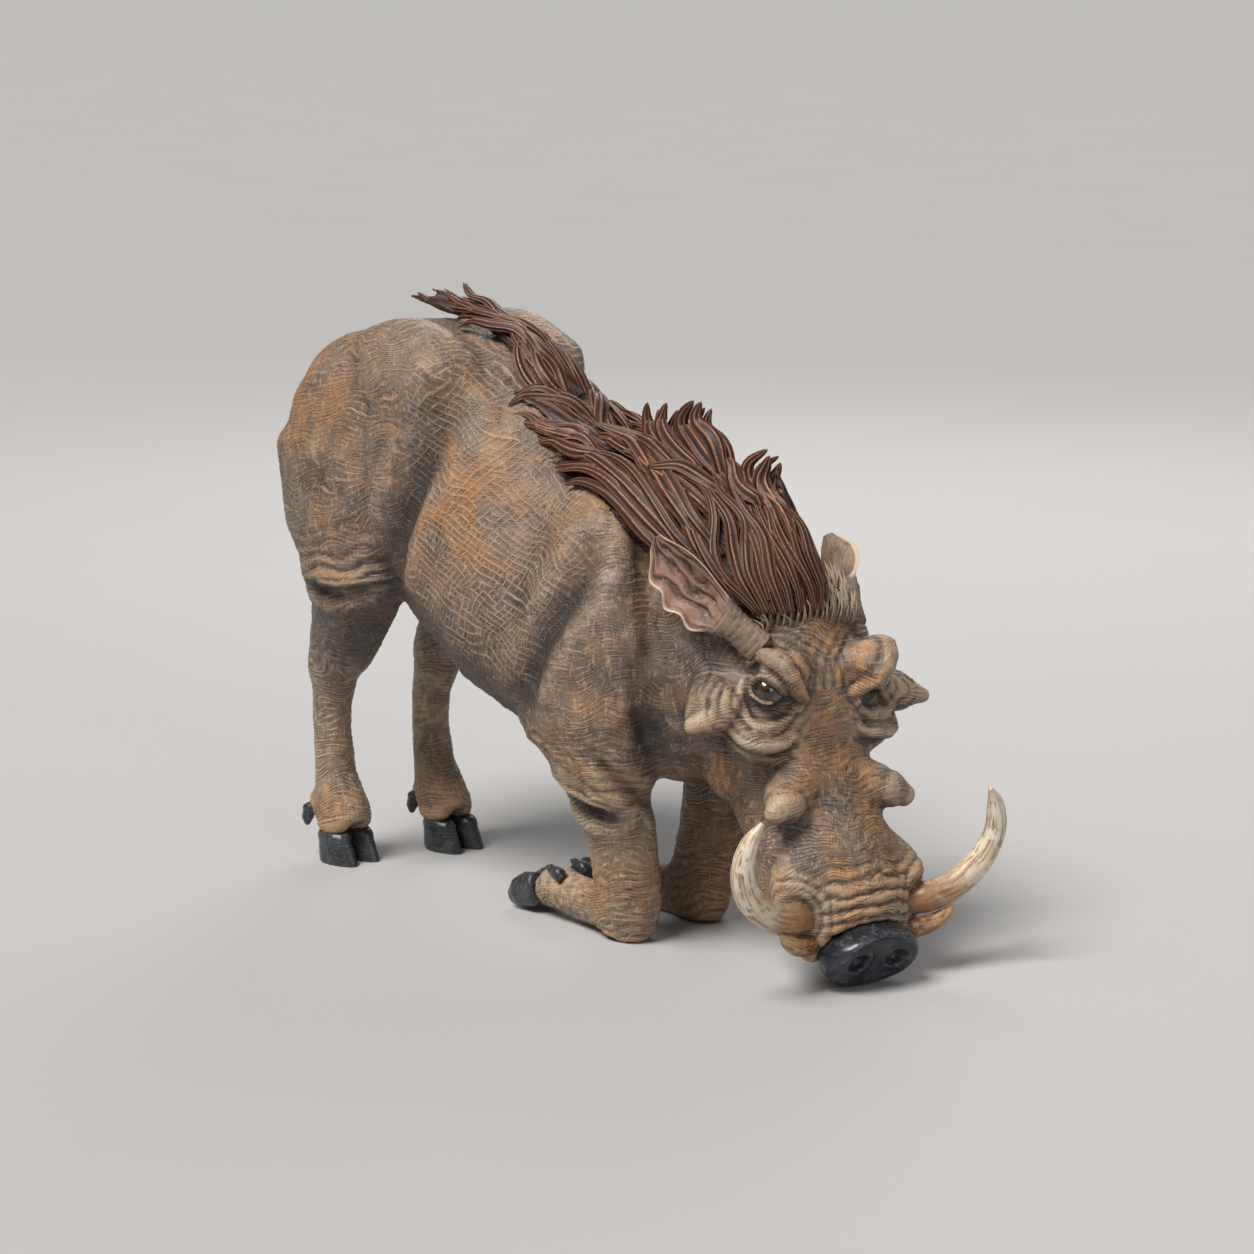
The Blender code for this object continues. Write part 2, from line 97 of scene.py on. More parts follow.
def noise(points, seed=0):
    """Gradient noise, about -1 to 1, at points in an array of any shape, with unit-sized cells."""
    shape = points.shape[:-1]
    points = points.reshape(-1, 3)
    cell = np.floor(points)
    part = points - cell
    cell = cell.astype(np.int64)
    ease = part * part * part * (part * (part * 6 - 15) + 10)
    total = np.zeros(len(points))
    for dx in (0, 1):
        for dy in (0, 1):
            for dz in (0, 1):
                h = hashed(cell[:, 0] + dx, cell[:, 1] + dy, cell[:, 2] + dz, seed)
                gx = (h & np.uint32(1023)).astype(float) / 511.5 - 1
                gy = ((h >> np.uint32(10)) & np.uint32(1023)).astype(float) / 511.5 - 1
                gz = ((h >> np.uint32(20)) & np.uint32(1023)).astype(float) / 511.5 - 1
                dot = gx * (part[:, 0] - dx) + gy * (part[:, 1] - dy) + gz * (part[:, 2] - dz)
                wx = ease[:, 0] if dx else 1 - ease[:, 0]
                wy = ease[:, 1] if dy else 1 - ease[:, 1]
                wz = ease[:, 2] if dz else 1 - ease[:, 2]
                total += dot * wx * wy * wz
    return total.reshape(shape) * 1.6


def spacings(points, across, spacing, wander, seed):
    """Counts the spacings between threads along `across`, bent by a slow wander."""
    across = np.asarray(across, float) / np.linalg.norm(across)
    bend = wander * noise(points / 9.0, seed) + 0.14 * noise(points / 2.6, seed + 1)
    return points @ across / spacing + bend


def crest(count, width):
    """1 on a thread, half way between two whole counts, falling to 0 beside it."""
    return bump((count - np.floor(count)) - 0.5, width)


def bump(distance, width):
    return np.exp(-(distance / width) ** 2)


def ramp(values, low, high):
    """Smoothly 0 below low and 1 above high."""
    t = np.clip((values - low) / (high - low), 0, 1)
    return t * t * (3 - 2 * t)


def fade(values, low, high):
    """Smoothly 1 below low and 0 above high."""
    return 1 - ramp(values, low, high)


def band(values, low, full, fading, high):
    """1 between full and fading, 0 below low and above high."""
    return ramp(values, low, full) * fade(values, fading, high)


def distance_to(points, spot):
    return np.linalg.norm(points - np.asarray(spot), axis=1)


def distance_to_path(points, path):
    """Each point's distance to a polyline, and how far along the line, 0 to 1, it is nearest."""
    path = np.asarray(path, float)
    best = np.full(len(points), 1e9)
    where = np.zeros(len(points))
    for i, (start, end) in enumerate(zip(path, path[1:])):
        leg = end - start
        t = np.clip(((points - start) @ leg) / (leg @ leg), 0, 1)
        away = np.linalg.norm(points - start - t[:, None] * leg, axis=1)
        nearer = away < best
        best[nearer] = away[nearer]
        where[nearer] = (i + t[nearer]) / (len(path) - 1)
    return best, where


# ---------------------------------------------------------------- lumps of clay

def smooth_path(points, steps):
    """Points with others filled in between them on a Catmull-Rom curve; any number of values each."""
    rows = [np.asarray(p, float) for p in points]
    filled = []
    for i in range(len(rows) - 1):
        a, b = rows[max(i - 1, 0)], rows[i]
        c, d = rows[i + 1], rows[min(i + 2, len(rows) - 1)]
        for step in range(steps):
            t = step / steps
            filled.append(0.5 * (2 * b + (c - a) * t + (2 * a - 5 * b + 4 * c - d) * t ** 2
                                 + (3 * b - a - 3 * c + d) * t ** 3))
    filled.append(rows[-1])
    return filled


def roll(bm, stations, count=10):
    """A round-ended tube through (x, y, z, radius) stations, in the tables' place."""
    stations = [np.asarray(s, float) for s in stations]
    rings_made = []
    side = None
    for i, station in enumerate(stations):
        centre, radius = station[:3], station[3]
        along = stations[min(i + 1, len(stations) - 1)][:3] - stations[max(i - 1, 0)][:3]
        along = Vector(along).normalized()
        if side is None:
            side = along.orthogonal().normalized()
        side = (side - along * side.dot(along)).normalized()
        other = along.cross(side)
        ring = []
        for k in range(count):
            angle = 2 * math.pi * k / count
            offset = (side * math.cos(angle) + other * math.sin(angle)) * radius * MM
            ring.append(bm.verts.new(place(centre) + offset))
        rings_made.append(ring)
    for low, high in zip(rings_made, rings_made[1:]):
        for k in range(count):
            j = (k + 1) % count
            bm.faces.new((low[k], low[j], high[j], high[k]))
    bm.faces.new(rings_made[0])
    bm.faces.new(rings_made[-1])
    for end in (stations[0], stations[-1]):
        lump(bm, end[:3], [end[3]] * 3)


def lump(bm, centre, radii):
    """An ellipsoid in the tables' place."""
    scale = Matrix.Diagonal((*[r * MM for r in radii], 1.0))
    bmesh.ops.create_icosphere(bm, subdivisions=3, radius=1.0,
                               matrix=Matrix.Translation(place(centre)) @ scale)


def show(obj):
    bpy.context.scene.collection.objects.link(obj)
    return obj


def object_from(bm, name):
    mesh = bpy.data.meshes.new(name)
    bm.to_mesh(mesh)
    bm.free()
    return show(bpy.data.objects.new(name, mesh))


def fused(bm, name, voxel):
    """Makes one closed skin of everything in bm; returns its vertices in table mm and its quads."""
    obj = object_from(bm, name)
    remesh = obj.modifiers.new("fuse", "REMESH")
    remesh.mode = "VOXEL"
    remesh.voxel_size = voxel * MM
    graph = bpy.context.evaluated_depsgraph_get()
    mesh = obj.evaluated_get(graph).to_mesh()
    points = np.empty(len(mesh.vertices) * 3)
    mesh.vertices.foreach_get("co", points)
    points = points.reshape(-1, 3) / MM - SHIFT
    quads = np.empty(len(mesh.loops), np.int64)
    mesh.loops.foreach_get("vertex_index", quads)
    quads = quads.reshape(-1, 4)
    bpy.data.objects.remove(obj, do_unlink=True)
    return points, quads


def edges_of(quads):
    pairs = np.concatenate([quads[:, [0, 1]], quads[:, [1, 2]], quads[:, [2, 3]], quads[:, [3, 0]]])
    pairs.sort(axis=1)
    return np.unique(pairs, axis=0)


def averaged(values, edges):
    """The mean of each vertex's neighbours' values."""
    count = np.bincount(edges.ravel(), minlength=len(values)).astype(float)
    columns = values.reshape(len(values), -1)
    total = np.empty_like(columns, dtype=float)
    for k in range(columns.shape[1]):
        column = columns[:, k]
        total[:, k] = np.bincount(edges[:, 0], column[edges[:, 1]], len(values))
        total[:, k] += np.bincount(edges[:, 1], column[edges[:, 0]], len(values))
    return (total / count[:, None]).reshape(values.shape)


def relax(points, edges, rounds):
    """Takes the steps and facets out of a skin without shrinking it."""
    for _ in range(rounds):
        for factor in (0.6, -0.62):
            points = points + factor * (averaged(points, edges) - points)
    return points


def normals_of(points, quads):
    """Vertex normals of a quad skin."""
    cross = np.cross(points[quads[:, 2]] - points[quads[:, 0]], points[quads[:, 3]] - points[quads[:, 1]])
    total = np.empty_like(points)
    for axis in range(3):
        weight = np.repeat(cross[:, axis], 4)
        total[:, axis] = np.bincount(quads.ravel(), weight, len(points))
    return total / (np.linalg.norm(total, axis=1, keepdims=True) + 1e-12)


def frame_mesh(bm, node):
    """Adds a copy of a CAD node to bm."""
    bm.from_mesh(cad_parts[node].data)


def mesh_from(points, quads):
    """A bmesh, in metres, of table points and quads."""
    mesh = bpy.data.meshes.new("passing")
    mesh.from_pydata(((points + SHIFT) * MM).tolist(), [], quads.tolist())
    bm = bmesh.new()
    bm.from_mesh(mesh)
    bpy.data.meshes.remove(mesh)
    return bm


# ---------------------------------------------------------------- skin

def base_skin():
    """Body and head as one smooth skin: the CAD solids fused, with their sockets filled."""
    bm = bmesh.new()
    for node in ("body", "head"):
        frame_mesh(bm, node)
    lump(bm, head(0, NECK_SEAM, 50), (12, 6, 17))
    for side in SIDES.values():
        x, y, z = EYE_AT
        lump(bm, head((x - 0.9) * side, y + 1.8, z), (3.6, 3.6, 3.6))
        lump(bm, head(13 * side, 7.5, 14.5), (4, 4, 5))
        lump(bm, head(11.5 * side, 23.0, 62.5), (3, 3, 3))
        step = HIND_STEP if side > 0 else 0.0
        for aside in (-CLAW_SPREAD, CLAW_SPREAD):
            lump(bm, ((HIND_STANCE + aside / side) * side, 66.0 - step, 8.3), (2.9, 4.3, 2.5))
            lump(bm, ((HIND_STANCE + 0.7 * aside / side) * side, 70.2 - step, 11.8), (2.3, 3.5, 3.8))
            lump(bm, (8.2 * side + aside * 0.85, 2.6, 5.6), (2.4, 2.2, 2.8))
    points, quads = fused(bm, "base", BASE_VOXEL)
    points = relax(points, edges_of(quads), 14)
    return points, quads




def eye_centre(side):
    return np.array(head(EYE_AT[0] * side, *EYE_AT[1:]))


def eye_axes(side):
    """Out of the eye, towards its outer corner, and up, in the tables' place."""
    turn = turn_matrix()
    out = turn @ np.array((0.74 * side, -0.65, 0.12))
    out /= np.linalg.norm(out)
    up = np.array((0.0, 0.0, 1.0)) - out * out[2]
    up /= np.linalg.norm(up)
    outer = np.cross(up, out) * side
    if (turn.T @ outer)[1] < 0:
        outer = -outer
    return out, outer, up


def around_eye(side, radius_x, radius_y, start, end, steps=8):
    """Points on an ellipse around the eye, in its tangent plane; angles in degrees, 0 is outer."""
    _, outer, up = eye_axes(side)
    centre = eye_centre(side)
    made = []
    for i in range(steps + 1):
        angle = math.radians(start + (end - start) * i / steps)
        made.append(centre + outer * radius_x * math.cos(angle) + up * radius_y * math.sin(angle))
    return made


def dropped(tree, points, direction, lift):
    """Points moved along `direction` on to the skin, then back out by `lift`."""
    direction = Vector(direction).normalized()
    landed = []
    for point in points:
        start = place(point) - direction * 30 * MM
        hit = tree.ray_cast(start, direction)[0]
        if hit is None:
            hit = tree.find_nearest(place(point))[0]
        landed.append(np.array(hit - direction * lift * MM) / MM - SHIFT)
    return landed


# the tips of the large and the small wart, as x, y, z and radius in the head's frame
WARTS = [
    [(18.5, 22.0, 51.2, 3.4), (21.5, 21.4, 50.4, 3.0), (24.0, 21.2, 49.8, 2.4), (26.2, 21.2, 49.2, 1.6)],
    [(11.6, 11.4, 34.6, 3.6), (13.2, 10.9, 34.0, 3.1), (14.6, 10.5, 33.3, 2.2)],
]


def face_clay(bm, tree):
    """Brows, eyelids, pouches and warts laid on the head."""
    for side in SIDES.values():
        out, outer, up = eye_axes(side)
        inward = -out
        brow = dropped(tree, around_eye(side, 6.2, 6.3, 50, 215, 8), inward, 0.1)
        roll(bm, [(*p, r) for p, r in zip(brow, (0.9, 1.4, 1.8, 2.0, 2.0, 1.9, 1.7, 1.4, 0.9))])
        for wart in WARTS:
            roll(bm, [(*head(x * side, y, z), r) for x, y, z, r in wart], count=16)
        pouch = dropped(tree, around_eye(side, 7.4, 10.6, -8, -128, 9), inward, -0.2)
        roll(bm, [(*p, r) for p, r in zip(pouch, (1.0, 1.3, 1.5, 1.6, 1.7, 1.8, 1.8, 1.7, 1.4, 0.9))])
        inner_pouch = dropped(tree, around_eye(side, 5.4, 7.4, 10, -130, 8), inward, 0.0)
        roll(bm, [(*p, r) for p, r in zip(inner_pouch, (0.7, 1.0, 1.2, 1.3, 1.3, 1.3, 1.2, 1.0, 0.7))])
        centre = eye_centre(side)
        for opening, radius in ((0.84, 0.75), (-0.72, 0.6)):
            lid = []
            for i in range(9):
                t = -1 + i / 4
                angle = t * 1.15
                raised = opening * (1 - t * t) - 0.16 * t * -1
                direction = out * math.cos(angle) + outer * math.sin(angle) + up * raised
                direction /= np.linalg.norm(direction)
                lid.append((*(centre + direction * (EYE_RADIUS + 0.25)), radius * (1 - 0.4 * t * t)))
            roll(bm, lid)


def sculpted_skin():
    """The whole skin: base and clay, fused and relaxed; make_skin() adds the folds and wrinkles."""
    points, quads = base_skin()
    bm = mesh_from(points, quads)
    tree = BVHTree.FromBMesh(bm)
    face_clay(bm, tree)
    points, quads = fused(bm, "clay", SKIN_VOXEL)
    edges = edges_of(quads)
    points = relax(points, edges, 3)
    return points, quads, edges


def finished(obj, material, nodes):
    """Gives a mesh object its material and its place in the frame, and hides the CAD nodes it stands for.
    """
    show(obj).data.materials.append(material)
    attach(obj, "root")
    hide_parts(*nodes)
    return obj


def skin_piece(name, points, quads, normals, layers, chosen, material, nodes):
    """One piece of the skin, keeping the normals that it has as part of the whole."""
    used, renumbered = np.unique(quads[chosen], return_inverse=True)
    mesh = bpy.data.meshes.new(name)
    mesh.from_pydata(((points[used] + SHIFT) * MM).tolist(), [], renumbered.reshape(-1, 4).tolist())
    mesh.shade_smooth()
    for title, values in layers.items():
        layer = mesh.color_attributes.new(title, "FLOAT_COLOR", "POINT")
        layer.data.foreach_set("color", values[used].ravel())
    mesh.normals_split_custom_set_from_vertices(normals[used].tolist())
    return finished(bpy.data.objects.new(name, mesh), material, nodes)


def groove(points, path, width, depth, banks=0.35):
    """A furrow along a path, with raised banks on both sides of it."""
    distance, where = distance_to_path(points, path)
    ends = np.minimum(ramp(where, 0, 0.12), fade(where, 0.88, 1.0))
    ends = 0.35 + 0.65 * ends
    return ends * depth * (banks * bump(distance - 1.9 * width, width) - bump(distance, width))


def mirrored(path):
    return [(-x, *rest) for x, *rest in path]


def stripes(values, spacing):
    """Round-topped ridges with narrow valleys: 0 in a valley, 1 on a ridge."""
    return np.abs(np.sin(np.pi * values / spacing)) ** 0.7


def folds(depth, values, spacing):
    """Ridges and valleys about the surface, `depth` from top to bottom."""
    return depth * (stripes(values, spacing) - 0.5)


def body_folds(points):
    """The large furrows and skin folds of trunk and legs, in millimetres."""
    x, y, z = points.T
    near = np.abs(x)
    sway = noise(points / 9.0, 40) * 2.2 + noise(points / 3.5, 41) * 0.7
    broken = 0.35 + 0.65 * ramp(noise(points / 5.0, 42), -0.5, 0.3)
    raised = np.zeros(len(points))
    for path, width, depth in BODY_GROOVES:
        raised += groove(points, path, width, depth) + groove(points, mirrored(path), width, depth)
    thigh = bump(near - 20, 9) * bump(y - 50, 13) * band(z, 59, 63, 68, 80)
    raised += folds(0.95 * thigh, z + 0.22 * (y - 50) + 0.8 * sway, 2.7) * (0.5 + 0.5 * broken)
    shank = bump(near - 14, 8) * bump(y - 60, 14) * band(z, 40, 46, 56, 62)
    raised += folds(0.32 * shank, z + 0.75 * (y - 60) + sway, 2.4) * broken
    elbow = bump(near - 18, 8) * bump(y + 18, 14) * band(z, 25, 30, 40, 47)
    raised += folds(0.7 * elbow, z - 0.4 * (y + 20) + sway, 2.7) * broken
    knee = bump(near - 10, 8) * bump(y + 20, 10) * fade(z, 12, 20)
    raised += folds(0.4 * knee, z + 0.3 * y + sway, 2.2) * broken
    neck = band(y, -50, -42, -32, -24) * band(z, 40, 50, 70, 84)
    raised += folds(0.3 * neck, y - 0.3 * z + sway, 3.8) * broken
    belly = fade(z, 44, 56) * bump(y - 8, 22) * fade(near, 20, 26)
    raised += belly * 0.32 * noise(points / 1.5, 50)
    raised += 0.3 * noise(points / 6.5, 51) * ramp(z, 12, 30)
    raised += 0.12 * noise(points / 1.9, 52) * ramp(z, 4, 12)
    for side in SIDES.values():
        away = np.linalg.norm((points - (19.5 * side, -6.5, 41.0)) / (6.0, 6.5, 7.0), axis=1)
        raised += 3.0 * fade(away, 0.2, 1.25)
        away = np.linalg.norm((points - (14.5 * side, 67.0, 42.0)) / (4.5, 4.5, 5.5), axis=1)
        raised += 1.0 * fade(away, 0.2, 1.3)
    return raised


def face_folds(points):
    """The folds of the head, in millimetres."""
    x, y, z = head_coordinates(points).T
    near = np.abs(x)
    in_head = fade(y, 34, 40)
    sway = noise(points / 5.0, 60) * 0.9 + noise(points / 2.0, 61) * 0.3
    broken = 0.45 + 0.55 * ramp(noise(points / 4.0, 62), -0.5, 0.2)
    raised = np.zeros(len(points))
    muzzle = band(z, 8, 11, 19, 27) * fade(near, 8.5, 11) * fade(y, 8, 14)
    raised += muzzle * 0.95 * (stripes(z + 0.16 * near + sway, 2.4) - 0.55) * broken
    bridge = band(z, 22, 28, 52, 60) * fade(near, 8, 12) * fade(y, 16, 20)
    raised += folds(0.14 * bridge, z - 0.2 * near + 2.2 * sway, 1.8) * broken
    cheek = ramp(near, 8, 11) * ramp(y, 10, 16) * fade(z, 38, 46) * in_head
    raised += folds(0.16 * cheek, y + 0.5 * z + 1.5 * sway, 2.4) * broken
    lip = bump(near - 12, 4) * bump(y - 7, 7) * bump(z - 8, 6)
    raised += folds(0.5 * lip, x * 0.5 + 0.9 * y + sway, 2.0)
    for side in SIDES.values():
        out, outer, up = eye_axes(side)
        offset = points - eye_centre(side)
        across, rise, depth = offset @ outer, offset @ up, offset @ out
        angle = np.degrees(np.arctan2(rise, across))
        radius = np.hypot(across, rise * np.where(rise < 0, 0.82, 1.0)) + 0.5 * sway
        facing = bump(depth - 2, 7)
        under = band(radius, 3.8, 4.8, 10, 12.5) * fade(angle, -12, 10)
        under *= np.where(angle < -150, 0.3, 1.0) * facing * broken
        raised += folds(0.5 * under, radius - 0.6, 1.9)
        above = band(radius, 5.5, 6.5, 13, 18) * ramp(angle, 20, 40)
        above *= bump(depth - 1, 10)
        raised += folds(0.34 * above, radius + 0.5, 1.4) * broken
        ring = distance_to(points, head(15 * side, 4.2, 14.6))
        raised += folds(0.42 * bump(ring - 6.6, 2.4), ring + sway, 1.9)
    return raised * in_head


def open_eyelids(points):
    """Sinks the skin behind the eyeballs inside two sloping almond openings."""
    for side in SIDES.values():
        out, outer, up = eye_axes(side)
        centre = eye_centre(side)
        offset = points - centre
        reach = np.linalg.norm(offset, axis=1)
        across, rise = offset @ outer, offset @ up
        across = across + 0.25
        almond = np.hypot(across / 3.3, (rise - 0.22 * across) / 2.15)
        inside = fade(almond, 0.82, 1.08) * (offset @ out > 0) * (reach < EYE_RADIUS + 3.5)
        sunk = centre + offset / reach[:, None] * np.minimum(reach, EYE_RADIUS - 0.7)[:, None]
        points = points * (1 - inside)[:, None] + sunk * inside[:, None]
    return points


# furrows of the trunk and legs at the near side, mirrored to the far side: path, width and depth
BODY_GROOVES = [
    ([(-20, 16, 110), (-23, 20, 104), (-25, 24, 94), (-26, 27, 84), (-25, 31, 74), (-22, 34, 66)],
     4.2, 3.2),
    ([(-24, 40, 63), (-27, 47, 61), (-26, 55, 61), (-20, 62, 64)], 1.7, 1.7),
    ([(-18, -20, 94), (-23, -22, 84), (-25, -20, 72), (-26, -13, 58), (-25, -8, 50)], 3.4, 2.3),
    ([(-24, -33, 68), (-24, -36, 58), (-22, -36, 50), (-17, -33, 42)], 2.4, 1.7),
    ([(-25, -26, 40), (-22, -29, 35), (-16, -30, 31), (-10, -28, 28)], 1.8, 1.0),
    ([(-20, -2, 34), (-22, -9, 31), (-22, -17, 29), (-20, -25, 27)], 1.9, 2.6),
    ([(-17, 72, 96), (-15, 76, 86), (-12, 76, 76)], 3.0, 1.0),
    ([(-13, 71, 52), (-14, 64, 47), (-13, 59, 44)], 1.5, 0.7),
    ([(-13, 64, 16), (-14, 68, 14), (-12, 73, 14)], 1.1, 0.6),
]


def region_masks(points):
    """Shares of the skin that carry each kind of fine wrinkle."""
    x, y, z = points.T
    near = np.abs(x)
    face = fade(head_coordinates(points)[:, 1], 30, 38)
    hind_leg = ramp(y, 30, 38) * fade(z, 64, 76)
    fore_leg = fade(y, 14, 20) * fade(z, 40, 56) * ramp(near, 4, 9)
    neck = fade(y, -34, -22) * (1 - face)
    limb = np.maximum(hind_leg, fore_leg) * (1 - face)
    pebble = fade(z, 46, 58) * (1 - limb) * (1 - face) * fade(near, 19, 25)
    flank = band(y, -24, -12, 24, 36)
    weave = (1 - face) * (1 - limb) * (1 - pebble) * (0.15 + 0.85 * flank)
    level = np.maximum(limb, (1 - flank) * (1 - face) * (1 - 0.4 * neck) * 0.85)
    return weave, level, face, pebble


def thread_guides(points):
    """Counts of steep, shallow and level threads at each point, and the patches they keep to."""
    steep = spacings(points, (0.25, 0.90, 0.42), 1.15, 1.5, 1)
    shallow = spacings(points, (0.30, -0.38, 0.90), 1.3, 1.6, 5)
    level = spacings(points, (0.1, 0.22, 1.0), 1.15, 2.6, 9)
    patch = 0.8 * noise(points / 3.4, 70) + 0.5 * noise(points / 1.5, 71)
    return np.stack([steep, shallow, level, patch], axis=1)


def fine_wrinkles(guides, regions):
    """Thin raised threads all over the skin, 0 to 1, in the directions in which the skin is drawn."""
    steep, shallow, level, patch = guides.T
    weave, limb, face, _ = regions.T
    woven = np.maximum(crest(steep, 0.16) * ramp(patch, -0.45, 0.15),
                       0.8 * crest(shallow, 0.16) * fade(patch, -0.05, 0.55))
    return weave * woven + np.maximum(limb, 0.5 * face) * crest(level, 0.17) * ramp(patch, -0.35, 0.25)


def hollowness(points, normals, edges, rounds):
    """How far each vertex stands above (+) or lies below (-) its surroundings."""
    flat = points
    for _ in range(rounds):
        flat = averaged(flat, edges)
    return np.einsum("ij,ij->i", points - flat, normals)


def skin_paint(points, normals, edges):
    """Paint guides: fine relief, ochre, pale brush (with a painted highlight on the hip) and painted
    shade, each 0 to 1.
    """
    x, y, z = points.T
    near = np.abs(x)
    local = head_coordinates(points)
    aside, back, high = np.abs(local[:, 0]), local[:, 1], local[:, 2]
    _, _, face, pebble = region_masks(points)
    small = hollowness(points, normals, edges, 4)
    large = hollowness(points, normals, edges, 40)
    relief = np.clip(0.5 + small / 0.26 + 0.22 * ramp(large, 0.1, 0.9), 0, 1)
    blotch = noise(points / 11.0, 80) * 0.6 + noise(points / 4.5, 81) * 0.45
    flank = bump(y - 12, 17) * bump(z - 86, 17) * ramp(near, 8, 16)
    rump = bump(y - 62, 15) * bump(z - 100, 14)
    elbow = bump(z - 38, 10) * bump(y + 22, 14) * ramp(near, 10, 16) * 0.8
    feet = fade(z, 14, 26)
    brow = face * ramp(high, 40, 52) * fade(aside, 8, 13)
    cheek = face * ramp(back, 14, 22) * fade(high, 34, 46) * 0.8
    bridge = face * fade(aside, 6, 11) * 0.75
    ochre = np.clip(flank + rump + elbow + feet + brow + bridge + cheek + 0.15 + blotch, 0, 1)
    lower_leg = fade(z, 34, 50) * (1 - face)
    pouch = np.zeros(len(points))
    for side in SIDES.values():
        away = distance_to(points, head(12.5 * side, 18, 50))
        pouch = np.maximum(pouch, fade(away, 7, 12))
        for tip, size in (((26.5, 20.5, 48.8), 5.5), ((14.8, 10.4, 33.0), 4.5)):
            away = distance_to(points, head(tip[0] * side, *tip[1:]))
            pouch = np.maximum(pouch, 1.3 * fade(away, size * 0.35, size))
    jaw = np.zeros(len(points))
    for side in SIDES.values():
        track = [(16 * side, 39, 42), (16 * side, 37, 33), (15 * side, 30, 28), (13.5 * side, 22, 22)]
        jaw = np.maximum(jaw, bump(distance_to_path(local, track)[0], 3.0))
    ochre = np.clip(ochre + jaw, 0, 1)
    muzzle = face * fade(high, 18, 26) * 0.6
    # painted highlight: paler on the top of the hip
    hip_highlight = bump(y - 42, 15) * bump(z - 110, 9) * 0.6
    pale = np.clip(0.6 * lower_leg + pouch + muzzle + 0.7 * jaw + hip_highlight + 0.6 * blotch + 0.1, 0, 1)
    # painted shade: the dark guide is darker on what faces down, in large hollows, in the eye openings, on
    # the lower belly, along the furrows, on the gaskin and on the neck behind the head
    under = fade(normals[:, 2], -0.85, -0.1) * ramp(z, 20, 34)
    dark = 0.85 * fade(large, -1.0, -0.05)
    for side in SIDES.values():
        away = distance_to(points, eye_centre(side))
        dark = np.maximum(dark, 0.8 * fade(away, 3.4, 4.6))
    above_belly = z - (41 + 0.52 * (y + 7))
    belly = fade(above_belly, 0, 15) * band(y, -12, -4, 34, 42) * (1 - lower_leg)
    # painted shade along each furrow, stronger where the furrow is deeper
    furrow_shade = np.zeros(len(points))
    for path, width, depth in BODY_GROOVES:
        for track in (path, mirrored(path)):
            furrow_shade = np.maximum(furrow_shade, 0.4 * depth * bump(distance_to_path(points, track)[0], 1.1 * width))
    # painted shade on the gaskin and on the neck behind the head
    shank = bump(y - 52, 9) * bump(z - 54, 9) * 0.55
    neck = band(y, -52, -44, -34, -26) * (1 - face) * 0.5
    dark = dark + 0.75 * under * (1 - lower_leg) + 0.5 * pebble + 0.75 * belly + furrow_shade + shank + neck
    dark = np.clip(dark, 0, 0.95)
    return np.stack([relief, ochre, pale, dark], axis=1)


def make_skin():
    """Makes the five pieces of the skin and returns a search tree of the whole."""
    points, quads, edges = sculpted_skin()
    normals = normals_of(points, quads)
    raised = body_folds(points) + face_folds(points)
    points = points + normals * raised[:, None]
    points = relax(points, edges, 1)
    normals = normals_of(points, quads)
    regions = np.stack(region_masks(points), axis=1)
    guides = thread_guides(points)
    fine = fine_wrinkles(guides, regions)
    grain = noise(points / 0.9, 90) * 0.03
    points = points + normals * (0.13 * fine + grain)[:, None]
    points = open_eyelids(points)
    points[:, 2] = np.maximum(points[:, 2], 0.0)
    normals = normals_of(points, quads)
    paint = skin_paint(points, normals, edges)
    centres = points[quads].mean(axis=1)
    is_head = head_coordinates(centres)[:, 1] < NECK_SEAM
    hide = hide_material()
    parts = [("skin_head", is_head, ["head"])]
    bands = (-200, -5, 18, 44, 200)
    for i, name in enumerate(("skin_shoulders", "skin_flanks", "skin_thighs", "skin_rump")):
        inside = ~is_head & (centres[:, 1] >= bands[i]) & (centres[:, 1] < bands[i + 1])
        parts.append((name, inside, ["body"]))
    for name, chosen, nodes in parts:
        layers = {"paint": paint, "regions": regions, "threads": guides}
        skin_piece(name, points, quads, normals, layers, chosen, hide, nodes)
    bm = mesh_from(points, quads)
    tree = BVHTree.FromBMesh(bm)
    bm.free()
    return tree


# ---------------------------------------------------------------- swept shapes

class Shape:
    """Points, faces and paint guides of one piece, in the tables' millimetres."""

    def __init__(self):
        self.points, self.faces, self.paint = [], [], []

    def add_rows(self, rows, paint):
        """Closed rings of points joined by quads and capped at both ends."""
        first = len(self.points)
        ring_count, size = rows.shape[:2]
        self.points.extend(rows.reshape(-1, 3).tolist())
        self.paint.extend(paint.reshape(-1, 4).tolist())
        for i in range(ring_count - 1):
            low = first + i * size
            for k in range(size):
                j = (k + 1) % size
                self.faces.append((low + k, low + j, low + size + j, low + size + k))
        self.faces.append(tuple(range(first + size - 1, first - 1, -1)))
        last = first + (ring_count - 1) * size
        self.faces.append(tuple(range(last, last + size)))

    def sweep(self, line, side, up, angle, wide, tall, paint):
        """A tube along a line: an ellipse of half-widths wide and tall at each point."""
        self.add_rows(line[:, None] + side[:, None] * (np.cos(angle) * wide)[..., None]
                      + up[:, None] * (np.sin(angle) * tall)[..., None], paint)

    def add_skin(self, points, quads, paint):
        self.points, self.faces, self.paint = points.tolist(), quads.tolist(), paint.tolist()

    def make(self, name, material, nodes, slot):
        mesh = bpy.data.meshes.new(name)
        mesh.from_pydata(((np.array(self.points) + SHIFT) * MM).tolist(), [], self.faces)
        mesh.shade_smooth()
        layer = mesh.color_attributes.new("paint", "FLOAT_COLOR", "POINT")
        layer.data.foreach_set("color", np.array(self.paint).ravel())
        return finished(bpy.data.objects.new(name, mesh), material, nodes)


def angles(count):
    """Evenly spaced angles around a tube, as one row."""
    return np.linspace(0, 2 * np.pi, count, endpoint=False)[None, :]


